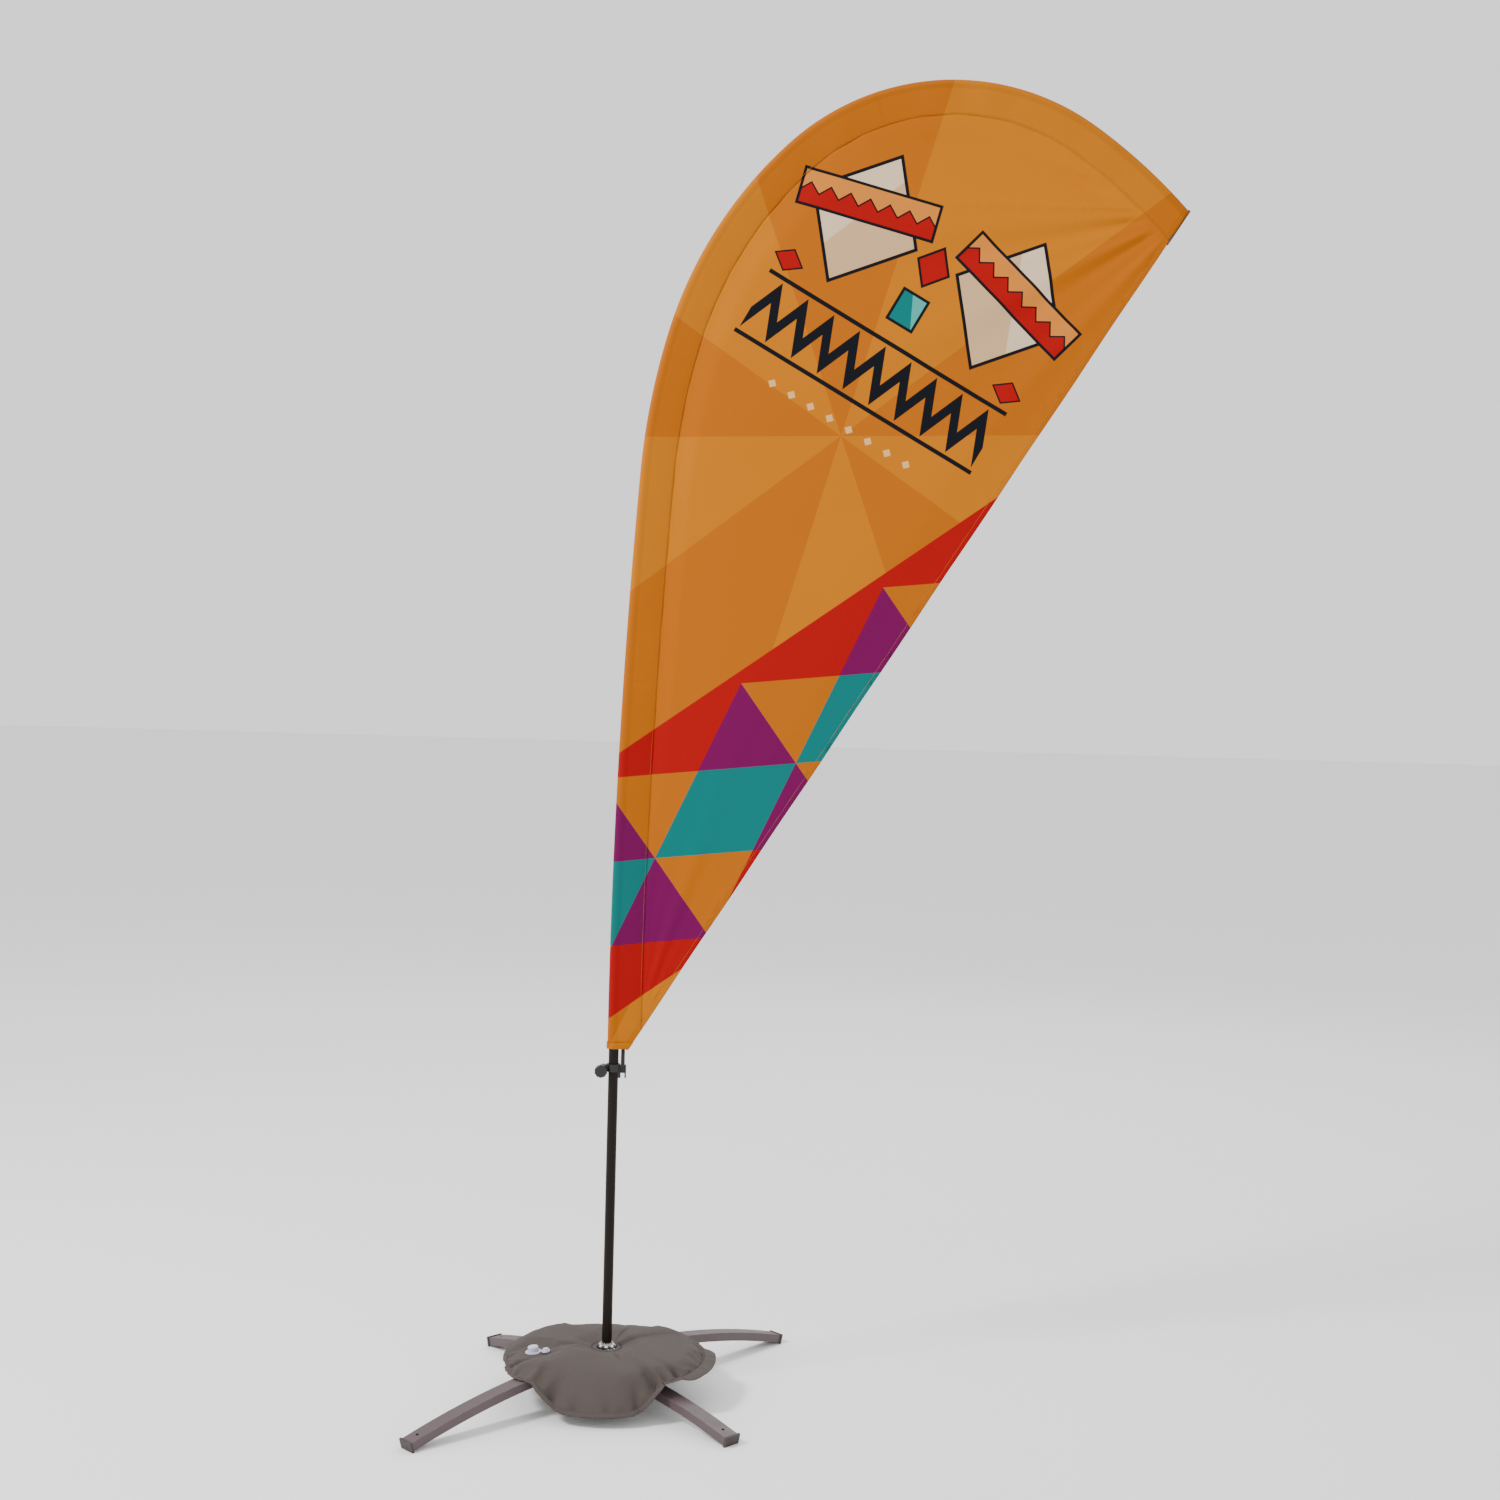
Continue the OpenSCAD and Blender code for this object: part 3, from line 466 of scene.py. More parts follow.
def zigzag_rows(m, colour, mirror, along, up):
    """A dark zigzag bar between two thin lines, and a row of pale dots below it."""
    bar_pitch, bar_height, bar_half_w = 0.062, 0.075, 0.024
    bar = (abs(up - zigzag(along, bar_pitch, bar_height)) - bar_half_w).most(mirror - 4.5 * bar_pitch)
    colour = painted(m, colour, bar, INK)
    line_up, line_half_w, line_half_l = 0.070, 0.0045, 0.285
    lines = (abs(abs(up) - line_up) - line_half_w).most(mirror - line_half_l)
    colour = painted(m, colour, lines, INK)
    dot_pitch, dot_down, dot_half_w, row_half_l = 0.046, 0.125, 0.0095, 0.190
    from_dot = abs((along / dot_pitch).fract() - 0.5) * dot_pitch
    dots = (from_dot + abs(up + dot_down) - dot_half_w).most(mirror - row_half_l)
    return painted(m, colour, dots, DOT)


def emblem(m, x, z, ground):
    """A generic ornament in rows: diamonds, small gems, a zigzag bar and dots."""
    cos, sin = math.cos(EMBLEM_TILT), math.sin(EMBLEM_TILT)
    dx = x - EMBLEM[0]
    dz = z - EMBLEM[1]
    along = dx * cos + dz * sin
    up = dz * cos - dx * sin
    mirror = abs(along)
    colour = banded_diamonds(m, ground, mirror, up)
    colour = small_gems(m, colour, mirror, along, up)
    return zigzag_rows(m, colour, mirror, along, up)


def flag_cloth():
    """Printed polyester. The panel, the sleeve and the hems give their places on the cloth."""
    m = Material("printed_polyester", Roughness=0.72, Sheen_Weight=0.02, Sheen_Roughness=0.5,
                 Specular_IOR_Level=0.08)
    x = m.axis("X")
    z = m.axis("Z")
    colour = triangle_band(m, x, z, sunburst(m, x, z))
    colour = emblem(m, x, z, colour)
    # Painted shade: the doubled cloth of the sleeve and the folded hem is darker, as it lets less light
    # through, and darker still over the pole, whose shadow shows through the sleeve; the seam and the hem's
    # inner fold are dark lines
    reach = m.stored("reach")
    rim = m.stored("rim")
    pole = m.stored("pole")
    tone = m.noise(2.2, 2.0) * 0.06 + 0.97
    # Painted shade of the doubled sleeve cloth
    tone = tone - (reach < SLEEVE_W) * 0.055
    # Painted shadow of the pole through the sleeve
    tone = tone - (abs(reach) - pole).inside(0.0, 3 * MM) * 0.10
    tone = tone - abs(reach - SLEEVE_W).inside(1.3 * MM, 1.5 * MM) * 0.13
    # Painted shade of the doubled hem
    tone = tone - rim.inside(HEM_W, 0.8 * MM) * 0.06
    tone = tone - abs(rim - HEM_W).inside(0.8 * MM, 1.0 * MM) * 0.10
    m.colour(m.shade(colour, tone))
    m.roughness(m.noise(160, 2.0) * 0.12 + 0.66)
    m.bump(m.noise(7.0, 4.0, (1.0, 1.0, 0.55)), 2.2 * MM, 0.35)
    m.bump(m.threads(1.1 * MM, "XZ"), 0.06 * MM, 0.6)
    return m.data


def plain_cloth(name, colour, pitch, letters, rough=0.8, sheen=0.15):
    """Woven cloth of one colour, with painted shade in its folds, and threads along two axes."""
    variation = 0.12
    m = Material(name, Roughness=rough, Sheen_Weight=sheen, Specular_IOR_Level=0.25)
    blotch = m.noise(9.0, 5.0) * 2.0 * variation + (1.0 - variation)
    grain = m.noise(900.0, 2.0) * 0.16 + 0.92
    weave = m.threads(pitch, letters)
    # Painted shade: the cloth is darker where it is drawn into the weld's creases
    fold_shade = (m.stored("fold") / (9 * MM)).least(1.0) * -0.75 + 1.0
    m.colour(m.shade(colour, blotch * grain * fold_shade * (weave * 0.05 + 1.0)))
    m.roughness(m.noise(240.0, 2.0) * 0.15 + rough - 0.07)
    m.bump(weave, 0.08 * MM, 0.7)
    m.bump(m.noise(60.0, 4.0), 0.5 * MM, 0.25)
    return m.data


def webbing(name, colour):
    m = Material(name, Roughness=0.7, Sheen_Weight=0.2, Specular_IOR_Level=0.3)
    weave = m.threads(1.5 * MM, "XZ")
    fray = m.noise(700.0, 3.0) * 0.3 + 0.85
    m.colour(m.shade(colour, (weave * 0.18 + 1.0) * fray))
    m.roughness(m.noise(500.0) * 0.2 + 0.6)
    m.bump(weave, 0.25 * MM, 0.8)
    return m.data


def powder_coat():
    """Grey-brown coated steel, worn at its edges."""
    m = Material("powder_coat", Roughness=0.5, Specular_IOR_Level=0.45)
    dust = m.noise(14.0, 6.0)
    base = m.mix(dust, srgb(70, 56, 59), srgb(84, 69, 72))
    wear = m.edge_wear(1.6 * MM) * (m.noise(90.0, 5.0) > 0.50)
    m.colour(m.mix(wear * 0.55, base, srgb(128, 114, 114)))
    m.roughness(m.noise(40.0, 4.0) * 0.22 + 0.38)
    m.bump(m.noise(950.0, 2.0), 0.12 * MM, 0.5)
    return m.data


def moulded(name, colour, rough=0.5, pale=None):
    """Moulded plastic with a fine grain, paler where its edges are rubbed."""
    m = Material(name, Roughness=rough, Specular_IOR_Level=0.4)
    base = m.mix(m.noise(25.0, 5.0), colour, tuple(c * 1.35 + 0.004 for c in colour))
    wear = m.edge_wear(0.9 * MM) * (m.noise(130.0, 4.0) * 0.7)
    m.colour(m.mix(wear * 0.5, base, pale or tuple(c * 1.8 + 0.03 for c in colour)))
    m.roughness(m.noise(70.0, 4.0) * 0.25 + rough - 0.12)
    m.bump(m.noise(1200.0, 2.0), 0.08 * MM, 0.4)
    return m.data


def metal(name, colour, rough, brushed=None, marks=0.08):
    """Bare or plated metal, with marks in its gloss, and brushed if given a stretch."""
    m = Material(name, Metallic=1.0, Roughness=rough)
    smear = m.noise(45.0, 5.0)
    m.colour(m.mix(smear, tuple(c * 0.86 for c in colour), colour))
    m.roughness(m.noise(80.0, 4.0) * marks * 2 + max(rough - marks, 0.02))
    if brushed:
        m.bump(m.noise(500.0, 3.0, brushed), 0.05 * MM, 0.5)
    else:
        m.bump(m.noise(300.0, 3.0), 0.02 * MM, 0.3)
    return m.data


def anodised():
    """Black tube of the lowest pole section."""
    m = Material("black_anodised", Metallic=0.1, Roughness=0.42, Specular_IOR_Level=0.15)
    streak = m.noise(60.0, 4.0, (1.0, 1.0, 0.06))
    m.colour(m.mix(streak, srgb(17, 11, 8), srgb(30, 21, 16)))
    m.roughness(m.noise(140.0, 4.0, (1.0, 1.0, 0.1)) * 0.25 + 0.30)
    m.bump(m.noise(900.0, 2.0, (1.0, 1.0, 0.15)), 0.03 * MM, 0.5)
    return m.data


def wrapped_fibreglass():
    """Upper pole sections, with the turns of their wrapping."""
    m = Material("wrapped_fibreglass", Roughness=0.35, Coat_Weight=0.4, Coat_Roughness=0.2)
    turns = ((m.axis("Z") * 0.8 + m.axis("X")) * (2 * math.pi / 0.011)).maths("SINE")
    m.colour(m.mix(turns * 0.5 + 0.5, srgb(24, 21, 20), srgb(38, 33, 31)))
    m.roughness(m.noise(220.0) * 0.2 + 0.28)
    m.bump(turns, 0.05 * MM, 0.6)
    return m.data


def milky_plastic():
    """Translucent filler fittings."""
    m = Material("milky_polyethylene", Roughness=0.38, Subsurface_Weight=0.35, Subsurface_Scale=0.006,
                 Transmission_Weight=0.25, IOR=1.5)
    cloud = m.noise(80.0, 4.0)
    m.colour(m.mix(cloud, srgb(226, 222, 234), srgb(200, 193, 220)))
    m.roughness(m.noise(150.0) * 0.2 + 0.3)
    m.bump(m.noise(350.0), 0.12 * MM, 0.4)
    return m.data


# ---------- flag panel and hems ----------

# Folds that fan out from the flag's two held corners: the corner, height in mm, fading length
# in metres, folds to the radian, the calm length at the corner in metres, and phase
FANS = [(TIP, 5.2, 0.50, 15.0, 0.30, 1.1), (FOOT, 3.0, 0.42, 23.0, 0.22, 0.4)]
STITCH_PITCH = 4.6 * MM


def pleats(x, z):
    """How far the hung cloth stands out of its plane: folds that fan out from its two held
    corners, and a slow swell between them."""
    out = np.zeros_like(x)
    for corner, height, fade, count, near, phase in FANS:
        dx, dz = x - corner[0], z - corner[1]
        far = np.hypot(dx, dz)
        angle = np.arctan2(dz, dx)
        bend = np.sin(3.1 * far + phase) * 0.35
        fold = np.sin(count * angle + phase + bend)
        fold += 0.45 * np.sin(2.3 * count * angle + 2.1 * phase)
        out += height * MM * fold * smooth_step(far / near * 2.2) * np.exp(-far / fade)
    out += 6.0 * MM * np.sin(2.9 * x + 1.7 * z + 0.6)
    out += 4.0 * MM * np.sin(7.1 * x - 3.3 * z + 1.9) * np.sin(1.6 * z)
    return out


def seam_pucker(s, seed):
    """Small gathers along a sewn line, of uneven length."""
    gathers = np.sin(s / 0.019 + 2.0 * np.sin(s / 0.23 + seed))
    return (gathers + 0.6 * np.sin(s / 0.0113 + seed)) * 0.32 * MM


def panel_ends():
    """The lengths along the mast at which the sleeve's seam meets the free edge."""
    stations = np.linspace(FOOT_Z, STRAIGHT_TOP, 500)
    full = [s for s in stations if sleeve_width(s) >= SLEEVE_W - 1e-9]
    return full[0], TIP_S + past_tip(SLEEVE_W)


def seam_place(s, inside=0.0):
    """The sleeve's seam at the length s along the mast, or a line inside it."""
    centre, across = mast_frame(s)
    return centre + across * (SLEEVE_W - inside)


def edge_distance(x, z):
    """How far inside the free edge a place on the flag is."""
    return -((x - FOOT[0]) * EDGE_OUT[0] + (z - FOOT[1]) * EDGE_OUT[1])


def make_panel(cloth):
    """The flag's panel between the sleeve's seam and the free edge, in rows across it."""
    rows, columns = 330, 84
    first, last = panel_ends()
    low, high = (float((seam_place(s) - FOOT) @ EDGE_DIR) for s in (first, last))
    verts = []
    reach = []
    rim = []
    for i in range(rows + 1):
        s = first + (last - first) * i / rows
        seam = seam_place(s, 3 * MM)
        share = (i / rows) ** 1.05
        edge = FOOT + EDGE_DIR * (low + (high - low) * share) - EDGE_OUT * 1.0 * MM
        if i in (0, rows):
            seam = edge - (edge - seam) * 0.02
        for j in range(columns + 1):
            w = j / columns
            flat = seam * (1 - w) + edge * w
            from_edge = float(edge_distance(flat[0], flat[1]))
            from_seam = float(np.linalg.norm(flat - seam))
            calm = smooth_step(from_seam / 0.07) * (0.35 + 0.65 * smooth_step(from_edge / 0.10))
            y = pleats(flat[0], flat[1]) * calm
            y += seam_pucker(s, 0.3) * math.exp(-from_seam / 0.022)
            y += seam_pucker(s * 0.8, 1.7) * math.exp(-max(from_edge, 0.0) / 0.030)
            verts.append((flat[0], y, flat[1]))
            reach.append(SLEEVE_W + from_seam)
            rim.append(from_edge)
    piece = new_object("flag_panel_cloth", verts, grid_faces(rows + 1, columns + 1), cloth)
    place_on_flag(piece, reach, rim, 0.0)
    thicken(piece, CLOTH)
    return piece


def edge_height(d):
    """The free edge's own place out of the plane, at the length d along it."""
    flat = FOOT + EDGE_DIR * d
    return float(pleats(np.array(flat[0]), np.array(flat[1]))) * 0.35


def hem_height(d):
    """The hem's place out of the plane, at the length d along the free edge."""
    return edge_height(d) + seam_pucker(d * 1.3, 1.7) * 1.2


def make_hem(cloth):
    """The free edge, folded over twice: a thin closed band along the straight edge."""
    rows = 520
    # Distance from the edge, and half the thickness in mm
    profile = [(HEM_W, 0.55), (HEM_W * 0.7, 0.85), (HEM_W * 0.3, 0.95), (1.2 * MM, 0.9), (0.0, 0.35)]
    section = profile + [(inset, -thick) for inset, thick in reversed(profile)]
    verts = []
    for i in range(rows + 1):
        d = 1 * MM + (EDGE_LENGTH - 2 * MM) * i / rows
        lie = hem_height(d)
        for inset, thick in section:
            uneven = 0.5 * MM * math.sin(d / 0.05) if inset == 0.0 else 0.0
            flat = FOOT + EDGE_DIR * d + EDGE_OUT * (uneven - inset)
            verts.append((flat[0], lie + thick * MM, flat[1]))
    piece = new_object("free_edge_hem_cloth", verts, closed_tube(rows + 1, len(section)), cloth)
    place_on_flag(piece, 1.0, HEM_W * 0.5, 0.0)
    return piece


def stitched_line(name, length, place_at, thread):
    """A sewn line on both faces of the flag. place_at gives, at a length along the line, its
    place in the plane, its direction, and its middle and half thickness out of the plane."""
    stations = []
    for i in range(int((length - 0.02) / STITCH_PITCH)):
        flat, along, middle, half = place_at(0.01 + i * STITCH_PITCH)
        direction = np.array([along[0], 0.0, along[1]])
        for side in (-1.0, 1.0):
            place = np.array([flat[0], middle + side * half, flat[1]])
            stations.append((place, direction, np.array([0.0, side, 0.0])))
    return stitches(name, stations, thread)


def hem_stitches(thread):
    """The hem's seam, along the free edge."""
    def place_at(d):
        flat = FOOT + EDGE_DIR * d - EDGE_OUT * (HEM_W - 2.6 * MM)
        return flat, EDGE_DIR, hem_height(d), 0.86 * MM

    return stitched_line("hem_stitching", EDGE_LENGTH, place_at, thread)


# ---------- sleeve ----------

SECTION_POINTS = 40


def sleeve_section(s, grow=0.0):
    """The sleeve's outline across the mast: round the pole, then closing to the seam. Gives
    (distance towards the flag, out of the plane) from the seam round the back and home."""
    width = max(sleeve_width(s), 6 * MM)
    deep = pole_radius(s) + 2.6 * MM + grow
    nose = SLEEVE_R + grow
    points = []
    for k in range(SECTION_POINTS):
        turn = 2 * math.pi * k / SECTION_POINTS
        c = math.cos(turn)
        if c > 0:
            u = width * c ** 0.8
            h = deep * (1 - c ** 0.8) ** 0.75 + 0.5 * MM + grow * 0.4
        else:
            u = nose * c
            h = deep * abs(math.sin(turn)) + 0.5 * MM
        points.append((u, h * (1 if math.sin(turn) >= 0 else -1)))
    return points


def sleeve_wrinkle(s, turn, side):
    """Soft creases across the sleeve, deeper where the mast bends hard."""
    hard = smooth_step((s - 1.9) / 0.6) * smooth_step((3.5 - s) / 0.5)
    crease = math.sin(s / 0.021 + 1.3 * side + 2.2 * math.sin(s / 0.17)) * math.sin(s / 0.11 + side)
    slow = math.sin(s / 0.083 + 2.4 * side) * math.sin(s / 0.031)
    return (crease * (0.35 + 0.9 * hard) + slow * 0.5) * MM * abs(math.sin(turn))


def make_sleeve(cloth):
    """The sleeve round the pole, from its mouth to the tip."""
    rows = 560
    verts = []
    reach = []
    rim = []
    pole = []
    for i in range(rows + 1):
        s = FOOT_Z + (TIP_S - 0.8 * MM - FOOT_Z) * i / rows
        centre, across = mast_frame(s)
        along = np.array([-across[1], across[0]])
        near_tip = float(smooth_step((s - TIP_S + 0.09) / 0.09))
        for k, (u, y) in enumerate(sleeve_section(s)):
            turn = 2 * math.pi * k / SECTION_POINTS
            side = 1 if y > 0 else -1
            y += side * sleeve_wrinkle(s, turn, side)
            flat = centre + across * u + along * past_tip(u) * near_tip
            y *= 1.0 - 0.55 * near_tip * max(u, 0.0) / SLEEVE_W
            verts.append((flat[0], y, flat[1]))
            reach.append(u)
            rim.append(edge_distance(flat[0], flat[1]))
            pole.append(pole_radius(s))
    piece = new_object("pole_sleeve_cloth", verts,
                       grid_faces(rows + 1, SECTION_POINTS, wrap_columns=True), cloth)
    place_on_flag(piece, reach, rim, pole)
    thicken(piece, CLOTH)
    return piece


def seam_stitches(thread):
    """The sleeve's seam, along the mast."""
    first, last = panel_ends()

    def place_at(d):
        across = mast_frame(first + d)[1]
        along = np.array([-across[1], across[0]])
        return seam_place(first + d, 3.2 * MM), along, 0.0, 2.0 * MM

    return stitched_line("sleeve_stitching", last - first, place_at, thread)


def make_bottom_hem(cloth):
    """The sleeve's mouth, turned up and sewn: a slightly proud band round its lower end."""
    heights = [float(z) for z in np.linspace(FOOT_Z - 0.5 * MM, FOOT_Z + 13 * MM, 8)]
    verts = []
    for i, z in enumerate(heights):
        swell = 0.9 * MM * math.sin(math.pi * (i + 0.6) / 8.2)
        for u, y in sleeve_section(z, grow=0.9 * MM + swell * 0.4):
            bend = 1 + 0.03 * math.sin(u / 0.006)
            verts.append((min(u, sleeve_width(z) + 0.6 * MM), y * bend, z))
    faces = grid_faces(len(heights), SECTION_POINTS, wrap_columns=True)
    piece = new_object("sleeve_mouth_hem", verts, faces, cloth)
    place_on_flag(piece, [x for x, _, _ in verts], 1.0, POLE_R[0])
    thicken(piece, 1.0 * MM, 1.0)
    return piece


# ---------- tip pocket, corner patch and strap ----------


def ring_points(points, width_power, height_power):
    """Points round a softened rectangle of half width 1 and half height 1."""
    for k in range(points):
        turn = 2 * math.pi * k / points
        c, s = math.cos(turn), math.sin(turn)
        yield math.copysign(abs(c) ** width_power, c), math.copysign(abs(s) ** height_power, s)


def rounded_strip(name, path, outs, width, thickness, material, across):
    """A flat strap along path, with its thickness along outs and softly rounded edges."""
    section = list(ring_points(16, 0.35, 0.7))
    verts = []
    for place, out in zip(path, outs):
        for a, b in section:
            sideways = np.array(across) * a * width / 2
            verts.append(np.array(place) + sideways + np.array(out) * b * thickness / 2)
    return new_object(name, verts, closed_tube(len(path), len(section)), material)


def make_strap(web):
    """A loop of webbing from the flag's corner down round the clamp's hook and up again."""
    low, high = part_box("tension_strap")
    mid = (low.x + high.x) / 2
    thickness = 1.2 * MM
    radius = (high.y - low.y) / 2 - thickness / 2
    top_gap = 1.3 * MM
    bottom = low.z + (high.y - low.y) / 2
    shoulder = FOOT_Z - 9 * MM
    # Down the front: together at the corner, then as wide as the loop
    front = []
    for k in range(10):
        z = high.z + (shoulder - high.z) * k / 9
        spread = top_gap + (radius - top_gap) * smooth_step((high.z - 0.010 - z) / 0.016)
        front.append((mid, -float(spread), z))
    for k in range(1, 7):
        front.append((mid, -radius, shoulder + (bottom - shoulder) * k / 6))
    path = list(front)
    outs = [(0, -1, 0)] * len(front)
    for k in range(1, 12):
        turn = math.pi * k / 12
        c, s = math.cos(turn), math.sin(turn)
        path.append((mid, -radius * c, bottom - radius * s))
        outs.append((0, -c, -s))
    path += [(x, -y, z) for x, y, z in reversed(front)]
    outs += [(0, 1, 0)] * len(front)
    return rounded_strip("tension_strap_webbing", path, outs, high.x - low.x, thickness, web, (1, 0, 0))


def make_corner_patch(web):
    """Two stitched patches over the strap's ends, one on each side of the flag."""
    verts = []
    faces = []
    low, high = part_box("corner_patch")
    n = 12
    thickness = 0.9 * MM
    border = 0.08
    count = (n + 1) ** 2
    rim = [i * (n + 1) for i in range(n)] + [n * (n + 1) + j for j in range(n)]
    rim += [(n - i) * (n + 1) + n for i in range(n)] + [n - j for j in range(n)]
    for side in (-1, 1):
        base = len(verts)
        for proud in (0.0, thickness):
            for i in range(n + 1):
                for j in range(n + 1):
                    a, b = i / n, j / n
                    round_x = min(a, 1 - a, border) / border
                    round_z = min(b, 1 - b, border) / border
                    lift = proud * (round_x * round_z) ** 0.5
                    wave = 0.15 * MM * math.sin(9 * a) * math.sin(7 * b)
                    y = side * (high.y - thickness + lift + wave)
                    verts.append((low.x + (high.x - low.x) * a, y, low.z + (high.z - low.z) * b))
        patch = grid_faces(n + 1, n + 1, start=base)
        patch += [f[::-1] for f in grid_faces(n + 1, n + 1, start=base + count)]
        for a, b in zip(rim, rim[1:] + rim[:1]):
            patch.append((base + a, base + b, base + count + b, base + count + a))
        faces += [f[::side] for f in patch]
    return new_object("corner_patch_webbing", verts, faces, web)


def make_tip_pocket(web):
    """Stiff webbing folded over the flag's blunt tip and down the start of the free edge."""
    # Distance out from the edge and half thickness, in mm
    section = [(-1.4, 2.2), (-3.4, 2.4), (-5.5, 1.6), (-5.5, -1.6),
               (-3.4, -2.4), (-1.4, -2.2), (0.2, -1.4), (0.2, 1.4)]
    rows = 26
    low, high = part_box("tip_pocket")
    length = (high.z - low.z) / EDGE_DIR[1] * 0.9
    verts = []
    for i in range(rows + 1):
        d = EDGE_LENGTH - length * (1 - i / rows)
        taper = smooth_step(i / 5)
        lie = edge_height(d) * (1 - taper)
        for inset, thick in section:
            outward = inset * MM * (0.45 + 0.55 * taper) + 2.2 * MM
            flat = FOOT + EDGE_DIR * (d + 2.0 * MM) + EDGE_OUT * outward
            verts.append((flat[0], thick * MM * (0.6 + 0.5 * taper) + lie, flat[1]))
    return new_object("tip_pocket_webbing", verts, closed_tube(rows + 1, len(section)), web)


# ---------- weight bag ----------

BAG_R = 208 * MM
HOLE_R = 30.3 * MM
BAG_TOP = 97 * MM
BAR_REACH = 503 * MM
BAR_RISE = 74 * MM
BAR_H = 18 * MM
FOOT_LIFT = 1 * MM
UPPER_TURN = math.radians(44)
FRONT_RIM, BACK_RIM = 29 * MM, 42 * MM
FRONT_BELLY, BACK_BELLY = 20 * MM, 30 * MM
BAR_MARGIN, HANG_RAMP = 20 * MM, 95 * MM
BAR_ARC = (BAR_REACH ** 2 + (BAR_RISE - FOOT_LIFT) ** 2) / (2 * (BAR_RISE - FOOT_LIFT))
# The cloth's room over the bars, and half the height of the cloth's edge at the weld
BAR_ROOM = 0.8 * MM
EDGE_HALF = 1.2 * MM
# The bag's mesh: points round it, and rings from its hole to its weld
BAG_SPOKES = 216
BAG_RINGS = 34
FILLER = (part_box("filler_neck")[0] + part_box("filler_neck")[1]) / 2
# Creases that run in from the welded rim: azimuth in degrees, length and depth in mm
CREASES = [(-152, 62, 7.0), (-141, 38, 3.5), (-118, 46, 5.0), (-104, 30, 2.5), (-86, 34, 2.0),
           (-70, 40, 4.0), (-58, 66, 7.5), (-50, 44, 4.5), (-41, 56, 6.5), (-170, 40, 3.5),
           (96, 42, 3.5), (118, 30, 2.5), (64, 48, 4.5), (38, 34, 2.5), (146, 40, 3.5), (8, 30, 2.0)]


def beside(a, azimuth):
    """The turn from an azimuth in degrees to the angle a, at most half a turn either way."""
    return math.remainder(a - math.radians(azimuth), 2 * math.pi)


def rim_radius(a):
    """Radius of the weld: a little further out in front, and most at the front left corner."""
    corner = beside(a, -141) / 0.30
    return BAG_R - 7 * MM * math.sin(a) + 17 * MM * math.exp(-corner ** 2)


def bar_top(r):
    """Height of the arched bars' top side at a radius."""
    return BAR_RISE - BAR_ARC + math.sqrt((BAR_ARC + BAR_H) ** 2 - r * r)


def hang(r, a):
    """0 over the bars and where the upper one folds, 1 in the middle of the front and back."""
    t = a - UPPER_TURN
    if math.sin(t) * math.cos(t) <= 0:
        return 0.0
    clear = min(abs(r * math.sin(t)), abs(r * math.cos(t)))
    short = 1 - min(max((clear - BAR_MARGIN) / HANG_RAMP, 0.0), 1.0)
    return 1 - short ** 2.2


def rim_height(a):
    """Height of the weld: just over the bars, or hung down between them."""
    r = rim_radius(a)
    level = bar_top(r) + 2.5 * MM
    return level + hang(r, a) * ((FRONT_RIM if math.sin(a) < 0 else BACK_RIM) - level)


def on_circle(r, a):
    """The place at a radius and azimuth, as x and y."""
    return r * math.cos(a), r * math.sin(a)


def bag_floor(r, a):
    """Height of the cloth under the bag: on the bars, or sagging between them."""
    rest = bar_top(r) + BAR_ROOM
    belly = FRONT_BELLY if math.sin(a) < 0 else BACK_BELLY
    rim = rim_height(a) - EDGE_HALF
    way = (r - HOLE_R) / (rim_radius(a) - HOLE_R)
    return rest + hang(r, a) * (belly + (rim - belly) * way ** 6 - rest)


def crease_depth(from_weld, a):
    """How far the cloth is drawn in beside the weld's creases, at a distance from the weld."""
    depth = np.zeros_like(from_weld)
    for azimuth, length, deep in CREASES:
        off = beside(a, azimuth) * BAG_R
        inward = from_weld / (length * MM)
        width = (5.0 + 9.0 * inward) * MM
        fading = np.exp(-(off / width) ** 2 - inward * 2.0)
        depth += 1.7 * deep * MM * fading * np.minimum(1.0, inward * 8)
    return depth


def top_cloth(a):
    """Radius and height of the top cloth at azimuth a: flat from the hole, then rolled over and
    down to the weld."""
    way = 1 - (1 - np.linspace(0, 1, BAG_RINGS + 1)) ** 1.7
    r = HOLE_R + way * (rim_radius(a) - HOLE_R)
    rim = rim_height(a) + EDGE_HALF
    z = rim + (BAG_TOP - rim) * np.sqrt(1 - way ** 3)
    return r, z


def bag_mesh(cloth):
    """Closed ring of cloth: out over the top from the hole to the weld, and back underneath."""
    spokes = [2 * math.pi * j / BAG_SPOKES for j in range(BAG_SPOKES)]
    tops = [top_cloth(a) for a in spokes]
    verts = []
    for i in range(BAG_RINGS + 1):
        for a, (r, z) in zip(spokes, tops):
            verts.append((*on_circle(r[i], a), z[i]))
    for i in range(BAG_RINGS, -1, -1):
        for a, (r, z) in zip(spokes, tops):
            flat = min(r[i], rim_radius(a))
            verts.append((*on_circle(flat, a), min(bag_floor(flat, a), z[i] - 1.0 * MM)))
    rows = 2 * (BAG_RINGS + 1)
    faces = [f[::-1] for f in grid_faces(rows, BAG_SPOKES, wrap_rows=True, wrap_columns=True)]
    return new_object("weight_bag_cloth", verts, faces, cloth)


